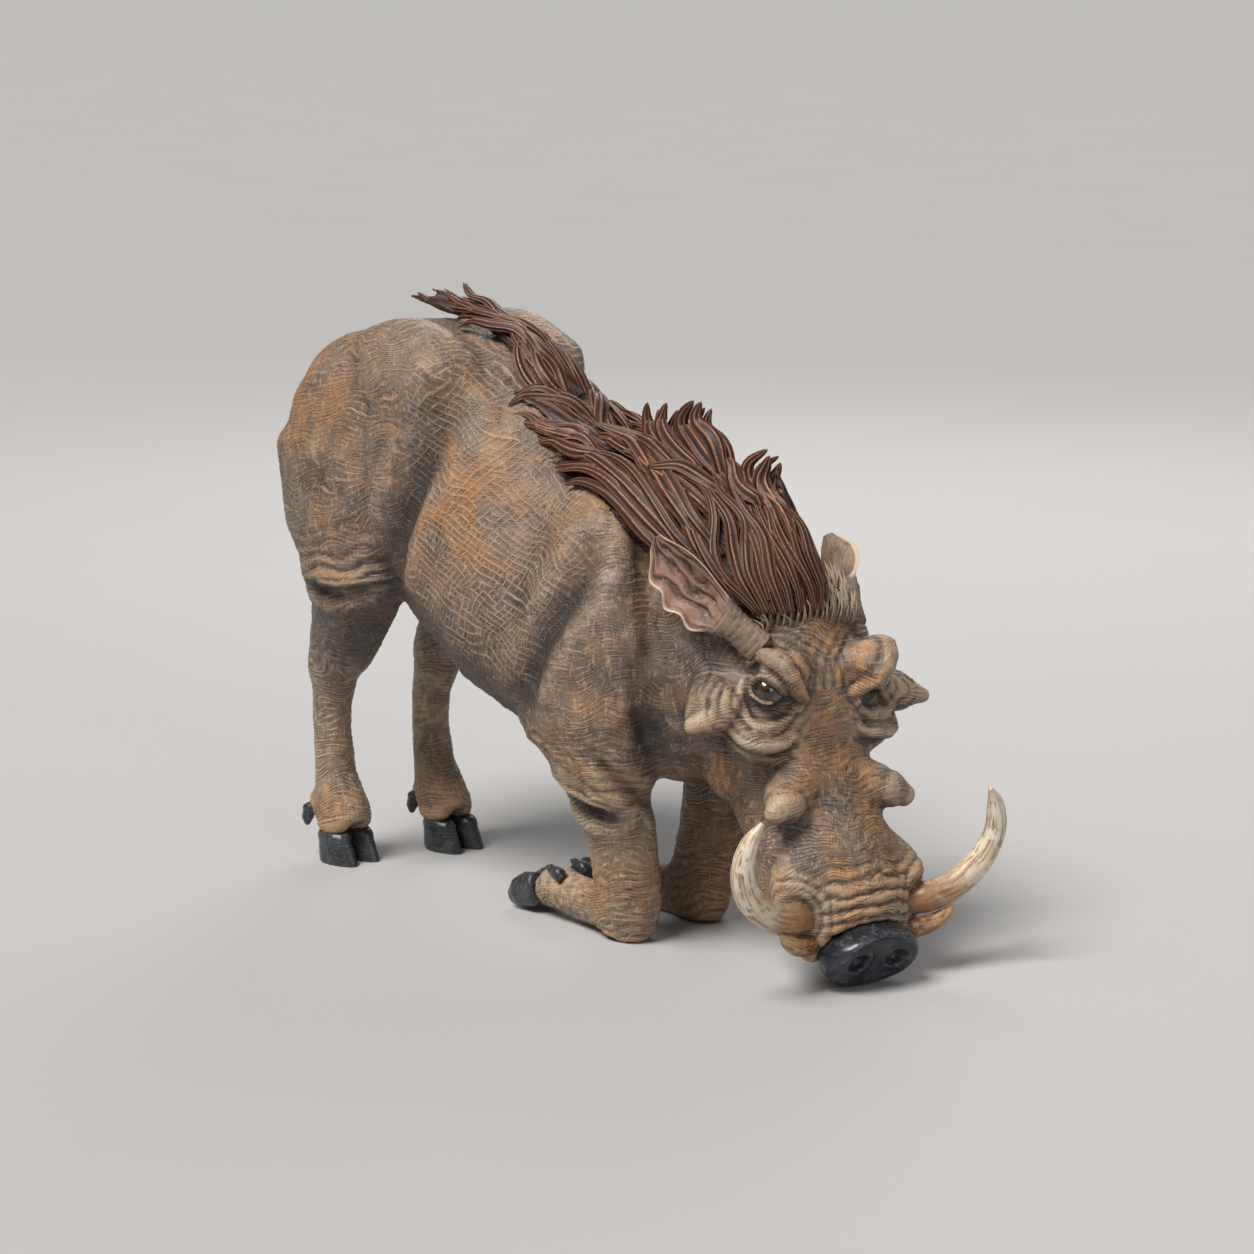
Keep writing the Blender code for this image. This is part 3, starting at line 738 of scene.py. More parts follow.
def unit(vectors):
    return vectors / (np.linalg.norm(vectors, axis=-1, keepdims=True) + 1e-12)


def line_frames(line, ups):
    """Side and up directions along a line, square to it, kept close to the wanted ups."""
    along = unit(np.gradient(line, axis=0))
    side = unit(np.cross(along, ups))
    return side, np.cross(side, along)


def packed(*columns):
    """Values of one shape's points, such as its four paint guides, side by side in one array."""
    return np.stack(np.broadcast_arrays(*columns), axis=-1)


def refined(node, voxel, rounds):
    """A CAD node as a fine smooth skin: its points, quads and edges."""
    bm = bmesh.new()
    frame_mesh(bm, node)
    points, quads = fused(bm, node + "_fine", voxel)
    edges = edges_of(quads)
    return relax(points, edges, rounds), quads, edges


# ---------------------------------------------------------------- mane

FLAME_FACING = (-0.9, -0.4, 0.1)           # where the upright locks turn their broad side
ROOT_DEPTH = 1.7                           # how far a lock's root is sunk
CORE_DEPTH = 1.5                           # how far the solid under the locks is sunk, where it is thick
BRISTLES = 260


def mane_outward(line):
    """Directions away from the mane's inside: up and forward over the neck, out at its sides."""
    x, y, _ = line.T
    steep = ramp(-y, 38, 56)
    return unit(np.stack([x / 11.0, -0.30 - 0.5 * steep, 0.95 - 0.35 * steep], axis=1))


def lock(shape, path, half_width, seed, flatness=0.55, ridges=7, count=28, steps=6, lift=0.0, facing=None):
    """A pointed lock of hair with ridges along it, rooted under the mane's surface."""
    line = np.array(smooth_path(path, steps))
    t = np.linspace(0, 1, len(line))
    ups = mane_outward(line) if facing is None else np.tile(facing, (len(line), 1))
    side, up = line_frames(line, ups)
    line = line - mane_outward(line) * (ROOT_DEPTH * fade(t, 0, 0.16))[:, None]
    sway = 0.8 * np.sin(t * 6.5 + seed) * ramp(t, 0, 0.3) * (1 - 0.7 * ramp(t, 0.7, 1))
    line = line + side * sway[:, None] + up * (lift + 0.25 * np.sin(t * 5.0 + 2.0 * seed))[:, None]
    width = half_width * (0.5 + 0.5 * ramp(t, 0, 0.35)) * (1 - t ** 2.2) ** 0.75 + 0.04
    angle = angles(count)
    t = t[:, None]
    swirl = ridges * angle + 2.2 * math.sin(seed) * np.sin(2.6 * t) + seed
    ridge = np.abs(np.sin(0.5 * swirl))
    radius = width[:, None] * (0.70 + 0.36 * ridge)
    tint = 0.5 + 0.5 * math.sin(seed * 7.3)
    shape.sweep(line, side, up, angle, radius, radius * flatness, packed(ridge, t, tint, 0.5))


def between(first, second, share=0.5):
    """A stroke part way between two others."""
    count = max(len(first), len(second))
    made = []
    for i in range(count):
        a = np.array(first[min(i, len(first) - 1)], float)
        b = np.array(second[min(i, len(second) - 1)], float)
        made.append(a * (1 - share) + b * share)
    return made


# strokes of hair from root to tip, in the tables' place; make_mane() mirrors those at the near side
RUMP_LOCKS = [
    [(-1, 31, 119), (-1, 38, 119), (-1, 45, 119), (-1, 52, 121)],
    [(1, 27, 117), (1, 33, 120), (1, 37, 121), (1, 40, 124)],
    [(-1, 18, 115), (0, 25, 117), (-1, 33, 119), (0, 41, 119)],
    [(-3, 14, 112), (-2, 20, 116), (-3, 26, 117), (-4, 31, 117), (-4, 36, 115)],
]
BACK_LOCKS = [
    [(-3, 3, 102), (-2, 9, 108), (-3, 13, 112), (-1, 18, 115), (0, 26, 117)],
    [(-4, 5, 103), (-5, 12, 109), (-3, 18, 114), (-2, 23, 117)],
    [(-5, 6, 103), (-6, 11, 106), (-5, 16, 112), (-2, 20, 115)],
    [(-3, 4, 102), (-4, 8, 107), (-4, 13, 111), (-2, 17, 114)],
]
WITHERS_LOCKS = [
    [(1, -4, 97), (-1, -1, 99), (-4, 3, 103), (-8, 9, 104), (-10, 11, 104), (-12, 12.5, 102)],
    [(-1, -6, 97), (-4, 2, 101), (-6, 8, 105), (-8, 12, 105), (-11, 13, 103)],
    [(-7, -11, 96), (-10, -5, 97), (-11, 2, 99), (-11, 6, 101), (-12.5, 10, 101)],
    [(-10, -10, 96), (-9, -3, 99), (-11, 2, 99), (-12.5, 6, 99)],
    [(-11, -14, 95), (-12, -8, 96), (-12, -2, 96), (-12.5, 3, 96)],
]
NEAR_LOCKS = [
    [(-13.5, -41, 77), (-14, -36, 82), (-14, -30, 87), (-13, -22, 92), (-12, -13, 95), (-12, -6, 95),
     (-13, -1, 93)],
    [(-13.5, -39, 77), (-14, -34, 82), (-14, -27, 87), (-14, -19, 91), (-14, -11, 92), (-14, -4, 91)],
    [(-12.5, -44, 77), (-13, -38, 82), (-13, -31, 88), (-12, -22, 93), (-11, -13, 95), (-12, -6, 96)],
    [(-14, -37, 77), (-15, -31, 82), (-15, -24, 86), (-15, -17, 89), (-14, -10, 90), (-14.5, -7, 89)],
]
MIDDLE_LOCKS = [
    [(-12, -43, 80), (-12, -36, 87), (-8, -26, 93), (-5, -17, 97), (-5, -11, 98), (-6, -5, 100)],
    [(-6, -33, 91), (-4, -22, 97), (-3, -12, 98), (-4, -4, 100)],
    [(-11, -45, 80), (-11, -39, 86), (-9, -31, 91), (-7, -22, 95), (-5, -13, 97), (-7, -8, 98)],
    [(-4, -41, 90), (-6, -33, 93), (-7, -28, 94), (-9, -24, 94)],
]
UPRIGHT_LOCKS = [
    [(-3, -34, 92), (-2, -25, 97), (0, -18, 101), (0, -20, 105)],
    [(-3, -32, 92), (-2, -20, 97), (0, -14, 100), (0, -15, 104.5)],
    [(-2, -40, 91), (-1, -29, 97), (0, -24, 101), (0, -28, 106)],
    [(-2, -38, 92), (-1, -33, 98), (0, -29, 102), (0, -29.5, 106)],
    [(0, -56, 80), (0, -50, 87), (1, -43, 91), (1, -42, 95), (1, -46, 98.5)],
    [(-1, -55, 80), (0, -49, 88), (1, -45, 93), (1, -46.5, 97.5)],
    [(-2, -48, 88), (-2, -41, 92), (-1, -37, 96)],
]
FOREHEAD_LOCKS = [
    [(-9, -53, 70), (-11, -48, 75), (-11, -44, 80), (-9, -41, 86), (-7, -36, 91), (-7, -30, 93)],
    [(-8, -55, 70), (-8, -51, 76), (-7, -48, 81), (-6, -46, 86), (-5, -40, 90), (-3, -36, 93)],
    [(-5, -57, 70), (-6, -53, 77), (-5, -50, 83), (-4, -46, 87), (-3, -40, 92)],
    [(-1, -58, 70), (-3, -55, 77), (-3, -52, 82), (-2, -48, 87), (0, -42, 91)],
    [(2, -59, 70), (-1, -56, 78), (-1, -53, 83), (-1, -50, 87), (1, -43, 90)],
    [(4, -59, 70), (2, -57, 79), (1, -55, 84), (-1, -51, 89)],
    [(-11, -50, 71), (-12, -46, 77), (-12, -40, 83), (-11, -35, 88), (-9, -28, 92)],
    [(-12, -47, 76), (-12.5, -40, 82), (-12, -34, 88), (-10, -27, 92)],
]


def mane_core(node):
    """The mane's solid, sunk and ridged, to fill the gaps between the locks."""
    points, quads, edges = refined(node, 0.55, 10)
    normals = normals_of(points, quads)
    tree = BVHTree.FromPolygons(points.tolist(), quads.tolist())
    through = [tree.ray_cast(Vector(p - 0.02 * n), Vector(-n))[3] or 0.5 for p, n in zip(points, normals)]
    sunk = averaged(np.minimum(CORE_DEPTH, 0.35 * np.array(through)), edges)
    hair = np.abs(np.sin(2.6 * points[:, 0] + 0.7 * points[:, 2] + 1.2 * noise(points / 6.0, 5)))
    points = points + normals * ((0.2 * hair - 1) * sunk)[:, None]
    shape = Shape()
    shape.add_skin(points, quads, packed(0.7 * hair, 0.3, 0.2, 0.5))
    return shape


def make_mane():
    """Long pointed locks swept back from the forehead over neck and back, over a solid core."""
    paint = hair_material()
    for name, node, groups in (
            ("mane_on_back", "mane_back", ((RUMP_LOCKS, 1.7), (BACK_LOCKS, 1.7))),
            ("mane_on_neck", "mane_neck", ((WITHERS_LOCKS, 1.8), (NEAR_LOCKS, 1.6), (MIDDLE_LOCKS, 1.9),
                                           (UPRIGHT_LOCKS, 2.3), (FOREHEAD_LOCKS, 1.5)))):
        shape = mane_core(node)
        seed = 10
        for group, broad in groups:
            paths = [(path, 0.15) for path in group]
            if group is not UPRIGHT_LOCKS:
                paths += [(between(a, b), -0.35) for a, b in zip(group, group[1:])]
            for path, lift in paths:
                seed += 1
                width = broad * (0.85 + 0.25 * math.sin(seed) ** 2)
                lock(shape, path, width, seed, lift=lift,
                     facing=FLAME_FACING if group is UPRIGHT_LOCKS else None)
                if group is UPRIGHT_LOCKS:
                    aside = [(x + 1.6, y - 1.3, z - 1.4) for x, y, z in path]
                    lock(shape, aside, 0.8 * width, seed + 50, facing=FLAME_FACING)
                elif np.mean([p[0] for p in path]) < -1.8:
                    lock(shape, mirrored(path), width, seed + 50, lift=lift)
                else:
                    aside = [(x + 2.0 * (1 - 0.8 * i / len(path)), *rest)
                             for i, (x, *rest) in enumerate(path)]
                    lock(shape, aside, 0.75 * width, seed + 50, lift=-0.2)
        shape.make(name, paint, [node], "mane")


def make_fringe(skin_tree):
    """Short greyish bristles standing along the front edge of the mane."""
    shape = Shape()
    for k in range(BRISTLES):
        across = -10.5 + 21.0 * ((k * 0.618) % 1.0)
        back = 18.6 + 6.0 * ((k * 0.377) % 1.0) + 0.03 * across ** 2
        foot = np.array(head(across, back, 72))
        hit = skin_tree.ray_cast(place(foot + (0, 0, 15)), Vector((0, 0, -1)))[0]
        if hit is None:
            continue
        foot = np.array(hit) / MM - SHIFT
        lean = 0.12 * across + 1.3 * math.sin(k * 2.1)
        tall = 2.4 + 3.4 * math.sin(k * 1.7) ** 2
        path = [foot - (0, 0, 0.6), foot + (0.3 * lean, -0.7, 0.5 * tall),
                foot + (lean, 0.9 + 0.6 * math.sin(k), tall)]
        line = np.array(smooth_path(path, 5))
        t = np.linspace(0, 1, len(line))
        side, up = line_frames(line, np.tile((1.0, 0.2, 0.1), (len(line), 1)))
        angle = angles(7)
        radius = (0.27 * (1 - t) ** 0.8 + 0.03)[:, None]
        shape.sweep(line, side, up, angle, radius, radius,
                    packed(0.5 + 0.5 * np.cos(2 * angle), t[:, None], 0.5, 0.5))
    shape.make("brow_bristles", bristle_material(), ["mane_neck"], "mane")


def make_tail():
    """A thin ringed tail hanging between the haunches, with a tuft of hair."""
    stations = np.array(smooth_path([(0, 73, 107, 2.4), (0, 80.5, 101, 2.1), (0, 83.4, 94, 1.8),
                                     (0, 84.0, 86, 1.5), (0, 83.8, 80, 1.5), (0, 83.0, 75, 1.0)], 16))
    line, radius = stations[:, :3], stations[:, 3]
    t = np.linspace(0, 1, len(line))[:, None]
    side, up = line_frames(line, np.tile((1.0, 0.0, 0.0), (len(line), 1)))
    angle = angles(28)
    fold = stripes(t * 46 + 0.4 * np.cos(angle), 1.2)
    reach = radius[:, None] * (0.93 + 0.1 * fold)
    shape = Shape()
    shape.sweep(line, side, up, angle, reach, reach, packed(fold, t, 0.3, 0.5))
    for k in range(16):
        turn = k * 2.4
        out = np.array((math.cos(turn), math.sin(turn), 0)) * (0.9 + 0.5 * math.sin(k))
        path = [np.array((0, 83.6, 86.0)) + 0.4 * out, np.array((0, 83.6, 80.0)) + 1.5 * out,
                np.array((0, 82.6, 74.0)) + 1.2 * out, np.array((0, 81.6, 67.0 + k % 4)) + 0.6 * out]
        lock(shape, path, 0.75, 300 + k, flatness=0.8, ridges=4, count=20, steps=7)
    shape.make("tail_and_tuft", hair_material(), ["tail"], "mane")


# ---------------------------------------------------------------- ears

# stations from root to tip: x, y, z in the head's frame, half the width, and the depth of the cup
EARS = {
    "right": [(11.5, 21, 62.5, 3.2, 0.2), (15.6, 24, 67, 3.1, 0.6), (19.2, 26.8, 70.4, 5.2, 3.0),
              (21.8, 29.6, 74.5, 5.8, 3.6), (24.2, 32.6, 79, 4.4, 2.6), (25.4, 34.6, 83, 0.7, 0.5)],
    "left": [(12, 24, 64, 2.8, 0.4), (13.5, 28, 67, 3.0, 1.0), (15.5, 32.5, 69, 5.6, 2.2),
             (17, 36, 71.5, 6.2, 2.4), (17.6, 39, 75, 5.4, 1.8), (17.6, 41, 78.5, 1.6, 0.5)],
}
EAR_FACING = {"right": (-0.9, -0.42, 0.1), "left": (0.86, 0.16, 0.1)}


def make_ears():
    """Thin cupped leaves on ringed stems, with a thick rim, a scalloped edge and folds inside."""
    paint = ear_material()
    for name, side in SIDES.items():
        stations = np.array(smooth_path(EARS[name], 14))
        line = np.array([head(x * side, y, z) for x, y, z in stations[:, :3]])
        half, depth = stations[:, 3][:, None], stations[:, 4][:, None]
        t = np.linspace(0, 1, len(line))[:, None]
        facing = turn_matrix() @ np.array(EAR_FACING[name])
        along = unit(np.gradient(line, axis=0))
        edge = unit(np.cross(along, facing))
        out = np.cross(edge, along)
        angle = angles(96)
        share, inner = np.cos(angle), np.sin(angle)
        blade = ramp(t, 0.24, 0.4)
        frill = 0.13 if side < 0 else 0.02
        scallop = 1 + frill * blade * np.sin(t * 34 + 1.0) * ramp(side * share, 0.2, 0.9) \
            * fade(t, 0.85, 1)
        rim = ramp(np.abs(share), 0.86, 0.98) * blade
        thick = 0.8 * half * (1 - blade) + 0.5 * blade + 0.3 * rim
        creases = stripes(share * 2.6 + 2.4 * t + 0.8 * noise(packed(share * 2.5, t * 6, 0.0), 7), 1.25)
        deep = ramp(inner, 0.1, 0.6) * blade * fade(np.abs(share), 0.72, 0.9)
        rings = stripes(t * 26 + 0.6 * inner, 1.0)
        ringed = 0.45 * (1 - blade) * (rings - 0.5)
        lift = depth * (share ** 2 - 0.5) + thick * inner + 0.9 * deep * (creases - 0.5)
        reach = half * scallop * share + ringed * share
        lift = lift + ringed * inner
        rows = line[:, None] + edge[:, None] * reach[..., None] + out[:, None] * lift[..., None]
        relief = np.where(blade > 0.5, creases, rings)
        shape = Shape()
        shape.add_rows(rows, packed(relief, rim, ramp(inner, -0.15, 0.25) * blade, t))
        shape.make(f"ear_shell_{name}", paint, [f"ear_{name}"], "hide")


# ---------------------------------------------------------------- tusks

# stations from root to tip: x, y, z in the head's frame, and radius
UPPER_TUSK = [(10.5, 6.4, 13.6, 2.6), (15, 4.0, 14.6, 2.9), (20.7, 2.8, 16.3, 2.8), (26.1, 1.7, 20.7, 2.6),
              (28.6, 0.4, 26.5, 2.2), (27.8, -0.8, 31.9, 1.7), (25.7, -1.8, 35.6, 0.45)]
LOWER_TUSK = [(10.6, 4.2, 9.0, 1.9), (12.8, 3.1, 9.3, 1.9), (15.6, 2.0, 10.0, 1.7), (18.2, 1.3, 11.6, 1.2),
              (19.8, 1.0, 13.2, 0.15)]


def make_tusks():
    for kind, table, paint, slot in (("upper", UPPER_TUSK, ivory_material(), "ivory"),
                                     ("lower", LOWER_TUSK, horn_material(), "horn_brown")):
        for name, side in SIDES.items():
            stations = np.array(smooth_path(table, 20))
            line = np.array([head(x * side, y, z) for x, y, z in stations[:, :3]])
            t = np.linspace(0, 1, len(line))[:, None]
            edge, out = line_frames(line, np.tile((0.2, 1.0, 0.1), (len(line), 1)))
            angle = angles(64)
            around = packed(2.6 * np.cos(angle), 2.6 * np.sin(angle), t * 5)
            grain = noise(around * (2.2, 2.2, 0.6), 3)
            chips = noise(around * (1.4, 1.4, 3.5), 8)
            groove_depth = 0.16 if kind == "upper" else 0.24
            cut = -groove_depth * bump(grain, 0.12) - 0.05 * ramp(chips, 0.2, 0.6)
            cut += 0.16 * bump(t - 0.17, 0.03) + 0.1 * bump(t - 0.24, 0.02)
            reach = stations[:, 3][:, None] * (1 + 0.3 * cut)
            shape = Shape()
            shape.sweep(line, edge, out, angle, reach, 0.94 * reach,
                        packed(bump(grain, 0.14), t, ramp(chips, 0.1, 0.5), 0.5))
            shape.make(f"{kind}_tusk_of_{name}", paint, [f"{kind}_tusk_{name}"], slot)


# ---------------------------------------------------------------- nose pad, eyes, feet

def make_nose_pad():
    """A leathery disc with a raised rim, two sunk nostrils and a pebbled face."""
    points, quads, _ = refined("nose_pad", 0.34, 7)
    local = head_coordinates(points)
    across, high = (local[:, 0] - 0.5) / 9.8, (local[:, 2] - 6.0) / 6.2
    radius = np.hypot(across, high)
    front = fade(local[:, 1], 0.4, 2.2)
    rim = bump(radius - 0.86, 0.16) * front * (0.5 + 0.8 * ramp(high, -0.2, 0.8))
    raised = 1.55 * rim
    for side in SIDES.values():
        away = np.hypot((local[:, 0] - 0.5 - 4.2 * side) / 2.3, (local[:, 2] - 5.6) / 1.8)
        raised += 0.5 * bump(away - 1.15, 0.3) * front - 0.5 * fade(away, 0.4, 1.0) * front
    raised -= 0.35 * bump(local[:, 0] - 0.5, 0.7) * front * bump(local[:, 2] - 5.5, 3.2)
    pebble = noise(points / 0.8, 21)
    raised += 0.09 * pebble
    forward = turn_matrix() @ np.array((0.0, -1.0, 0.0))
    points = points + forward * raised[:, None]
    points[:, 2] = np.maximum(points[:, 2], 0.0)
    shape = Shape()
    # the rim's share makes the rim paler in the paint: a painted highlight along the raised rim
    shape.add_skin(points, quads, packed(0.4 + 0.7 * pebble + 0.5 * rim, np.clip(radius, 0, 1), 0.5, 0.5))
    shape.make("nose_leather", nose_material(), ["nose_pad"], "hoof_black")


def make_eyes():
    """Glossy brown eyeballs with a slight bulge of the cornea."""
    paint = eye_material()
    for name, side in SIDES.items():
        out, outer, up = eye_axes(side)
        centre = eye_centre(side)
        polar = np.linspace(0.01, math.pi - 0.01, 44)[:, None]
        angle = angles(64)
        radius = EYE_RADIUS * (1 + 0.07 * bump(polar, 0.5))
        gaze = unit(0.86 * out - 0.14 * up - 0.25 * outer)
        right = unit(np.cross(up, gaze))
        high = np.cross(gaze, right)
        outward = np.cos(angle)[..., None] * right + np.sin(angle)[..., None] * high
        outward = np.cos(polar)[..., None] * gaze + np.sin(polar)[..., None] * outward
        rows = centre + radius[..., None] * outward
        shape = Shape()
        shape.add_rows(rows, packed(polar / math.pi, 0.5 + 0.5 * np.cos(angle), 0.5, 0.5))
        shape.make(f"eyeball_{name}", paint, [f"eye_{name}"], "eye_glass")


def make_feet():
    """Cloven hooves with a swollen coronet and growth rings, and the dewclaws behind them."""
    paint = hoof_material()
    for leg in ("hind", "fore"):
        for kind, voxel in (("hoof", 0.30), ("dewclaw", 0.22)):
            for name in SIDES:
                for place_in_foot in ("inner", "outer"):
                    node = f"{leg}_{kind}_{name}_{place_in_foot}"
                    points, quads, _ = refined(node, voxel, 5)
                    low, high = points.min(axis=0), points.max(axis=0)
                    if leg == "hind":
                        level = (points[:, 2] - low[2]) / (high[2] - low[2])
                    else:
                        level = (high[1] - points[:, 1]) / (high[1] - low[1])
                    turns = stripes(level * (high - low).max() + 0.15 * noise(points / 2.0, 4), 1.1)
                    sides = ramp(level, 0.03, 0.12)
                    raised = 0.03 * (turns - 0.5) * sides + 0.3 * bump(level - 0.85, 0.12)
                    raised += 0.04 * noise(points / 0.5, 9)
                    normals = normals_of(points, quads)
                    points = points + normals * raised[:, None]
                    points[:, 2] = np.maximum(points[:, 2], 0.0)
                    shape = Shape()
                    shape.add_skin(points, quads, packed(turns, level, 0.5, 0.5))
                    shape.make(f"{node}_horn", paint, [node], "hoof_black")


# ---------------------------------------------------------------- materials

class Nodes:
    """Short ways to write a shader's node tree."""

    def __init__(self, name):
        self.material = bpy.data.materials.new(name)
        self.material.use_nodes = True
        self.tree = self.material.node_tree
        self.shader = self.tree.nodes["Principled BSDF"]

    def add(self, kind, **settings):
        node = self.tree.nodes.new(kind)
        for key, value in settings.items():
            setattr(node, key, value)
        return node

    def link(self, output, target):
        self.tree.links.new(output, target)

    def put(self, socket, value):
        if isinstance(value, bpy.types.NodeSocket):
            self.link(value, socket)
        else:
            socket.default_value = value

    def math(self, operation, a, b=0.0):
        node = self.add("ShaderNodeMath", operation=operation)
        self.put(node.inputs[0], a)
        self.put(node.inputs[1], b)
        return node.outputs[0]

    def times(self, a, b):
        return self.math("MULTIPLY", a, b)

    def plus(self, a, b):
        return self.math("ADD", a, b)

    def less(self, value):
        """1 less the value."""
        return self.math("SUBTRACT", 1.0, value)

    def turned(self, vector, angles, scale):
        node = self.add("ShaderNodeMapping")
        self.put(node.inputs["Vector"], vector)
        node.inputs["Rotation"].default_value = [math.radians(a) for a in angles]
        node.inputs["Scale"].default_value = scale
        return node.outputs[0]

    def noise(self, vector, scale, detail=2.0, roughness=0.5):
        node = self.add("ShaderNodeTexNoise")
        self.put(node.inputs["Vector"], vector)
        node.inputs["Scale"].default_value = scale
        node.inputs["Detail"].default_value = detail
        node.inputs["Roughness"].default_value = roughness
        return node.outputs[0]

    def mix(self, factor, a, b):
        node = self.add("ShaderNodeMix", data_type="RGBA", clamp_factor=True)
        self.put(node.inputs["Factor"], factor)
        self.put(node.inputs["A"], (*a, 1) if isinstance(a, tuple) else a)
        self.put(node.inputs["B"], (*b, 1) if isinstance(b, tuple) else b)
        return node.outputs["Result"]

    def step(self, value, low, high):
        node = self.add("ShaderNodeMapRange", interpolation_type="SMOOTHSTEP")
        self.put(node.inputs["Value"], value)
        node.inputs["From Min"].default_value = low
        node.inputs["From Max"].default_value = high
        return node.outputs[0]

    def attribute(self, name):
        node = self.add("ShaderNodeAttribute", attribute_name=name)
        split = self.add("ShaderNodeSeparateColor")
        self.link(node.outputs["Color"], split.inputs[0])
        return (*split.outputs[:3], node.outputs["Alpha"])

    def place(self):
        return self.add("ShaderNodeTexCoord").outputs["Object"]

    def coat(self, colour, roughness):
        self.link(colour, self.shader.inputs["Base Color"])
        self.put(self.shader.inputs["Roughness"], roughness)

    def bump(self, height, strength, distance):
        node = self.add("ShaderNodeBump")
        node.inputs["Strength"].default_value = strength
        node.inputs["Distance"].default_value = distance
        self.put(node.inputs["Height"], height)
        self.link(node.outputs[0], self.shader.inputs["Normal"])

    def thread(self, count, width):
        """1 on a thread, half way between two whole counts, falling to 0 beside it."""
        aside = self.math("ABSOLUTE", self.math("SUBTRACT", self.math("FRACT", count), 0.5))
        return self.less(self.step(aside, 0.25 * width, 1.3 * width))


def hide_material():
    """Grey-brown ground, dark in the hollows, with painted shade under the body and in the furrows and a
    painted highlight on the hip, dry-brushed tan and ochre on all that stands up.
    """
    n = Nodes("hide_paint")
    relief, ochre, pale, dark = n.attribute("paint")
    weave, limb, face, _ = n.attribute("regions")
    steep, shallow, level, patch = n.attribute("threads")
    at = n.place()
    lines = n.times(n.thread(steep, 0.15), n.step(patch, -0.45, 0.15))
    other = n.times(n.thread(shallow, 0.15), n.less(n.step(patch, -0.05, 0.55)))
    lines = n.times(n.math("MAXIMUM", lines, n.times(other, 0.9)), weave)
    rest = n.times(n.thread(level, 0.16), n.step(patch, -0.35, 0.25))
    rest = n.times(rest, n.math("MAXIMUM", n.times(limb, 0.8), n.times(face, 0.45)))
    lines = n.math("MAXIMUM", lines, rest)
    bent = n.times(n.noise(at, 330.0, 3.0), 2.2)
    crease = n.thread(n.plus(n.times(level, 1.6), bent), 0.12)
    crease = n.times(crease, n.step(n.noise(at, 210.0, 2.0), 0.42, 0.60))
    crease = n.times(crease, n.less(n.times(weave, 0.6)))
    wear = n.step(n.noise(at, 420.0, 3.0, 0.6), 0.36, 0.60)
    lines = n.times(lines, n.plus(0.25, n.times(wear, 0.75)))
    speck = n.noise(at, 2400.0, 2.0)
    mottle = n.step(n.noise(at, 110.0, 4.0, 0.6), 0.3, 0.7)
    warm = n.times(ochre, n.step(n.noise(at, 95.0, 5.0, 0.66), 0.38, 0.58))
    ground = n.mix(mottle, (0.072, 0.054, 0.045), (0.160, 0.118, 0.092))
    ground = n.mix(n.times(warm, 0.85), ground, (0.30, 0.145, 0.060))
    ground = n.mix(n.times(pale, 0.5), ground, (0.34, 0.245, 0.155))
    brush = n.mix(warm, (0.45, 0.32, 0.22), (0.60, 0.29, 0.10))
    brush = n.mix(n.times(pale, 0.65), brush, (0.62, 0.46, 0.31))
    high = n.times(n.step(relief, 0.50, 0.92), n.plus(0.35, n.times(speck, 0.7)))
    low = n.less(n.step(relief, 0.08, 0.48))
    colour = n.mix(n.times(low, 0.72), ground, (0.036, 0.026, 0.021))
    colour = n.mix(n.math("MAXIMUM", n.times(high, 0.8), n.times(lines, 0.78)),
                   colour, brush)
    colour = n.mix(n.times(crease, 0.6), colour, (0.050, 0.034, 0.026))
    # painted shade from the skin's dark guide
    colour = n.mix(n.times(dark, 0.85), colour, (0.034, 0.026, 0.022))
    scratch = n.noise(n.turned(at, (20, 35, 0), (2100, 1500, 420)), 1.0, 2.0)
    scratch = n.times(n.step(scratch, 0.52, 0.68), n.step(relief, 0.25, 0.6))
    colour = n.mix(n.times(scratch, n.math("SUBTRACT", 0.5, n.times(dark, 0.3))),
                   colour, brush)
    grit = n.times(n.step(speck, 0.5, 0.72), 0.22)
    colour = n.mix(n.times(grit, n.less(dark)), colour, (0.48, 0.36, 0.26))
    n.coat(colour, n.plus(0.36, n.times(n.noise(at, 700.0, 2.0), 0.26)))
    height = n.plus(n.times(lines, 0.8), n.times(speck, 0.3))
    height = n.plus(height, n.times(scratch, 0.45))
    height = n.math("SUBTRACT", height, n.times(crease, 0.8))
    n.bump(height, 1.0, 0.00022)
    return n.material


def hair_material():
    """Dark glossy brown with copper brushed along the ridges of the locks."""
    n = Nodes("hair_paint")
    ridge, _, tint, _ = n.attribute("paint")
    fine = n.noise(n.place(), 1800.0, 3.0)
    crest = n.step(n.plus(ridge, n.times(fine, 0.25)), 0.93, 1.17)
    crest = n.times(crest, n.plus(0.55, n.times(tint, 0.45)))
    low = n.step(ridge, 0.1, 0.75)
    colour = n.mix(low, (0.008, 0.005, 0.004), (0.080, 0.034, 0.022))
    colour = n.mix(crest, colour, (0.52, 0.235, 0.13))
    n.coat(colour, n.plus(0.34, n.times(fine, 0.2)))
    n.shader.inputs["Specular IOR Level"].default_value = 0.32
    n.bump(fine, 0.3, 0.0001)
    return n.material


def bristle_material():
    """Grey hide colour brushed with pale brown towards the tips."""
    n = Nodes("bristle_paint")
    along = n.attribute("paint")[1]
    fine = n.noise(n.place(), 1500.0, 2.0)
    colour = n.mix(n.step(along, 0.1, 0.9), (0.19, 0.14, 0.11), (0.56, 0.43, 0.31))
    colour = n.mix(n.times(n.step(fine, 0.45, 0.7), 0.6), colour, (0.50, 0.38, 0.28))
    n.coat(colour, 0.6)
    n.bump(fine, 0.3, 0.0001)
    return n.material


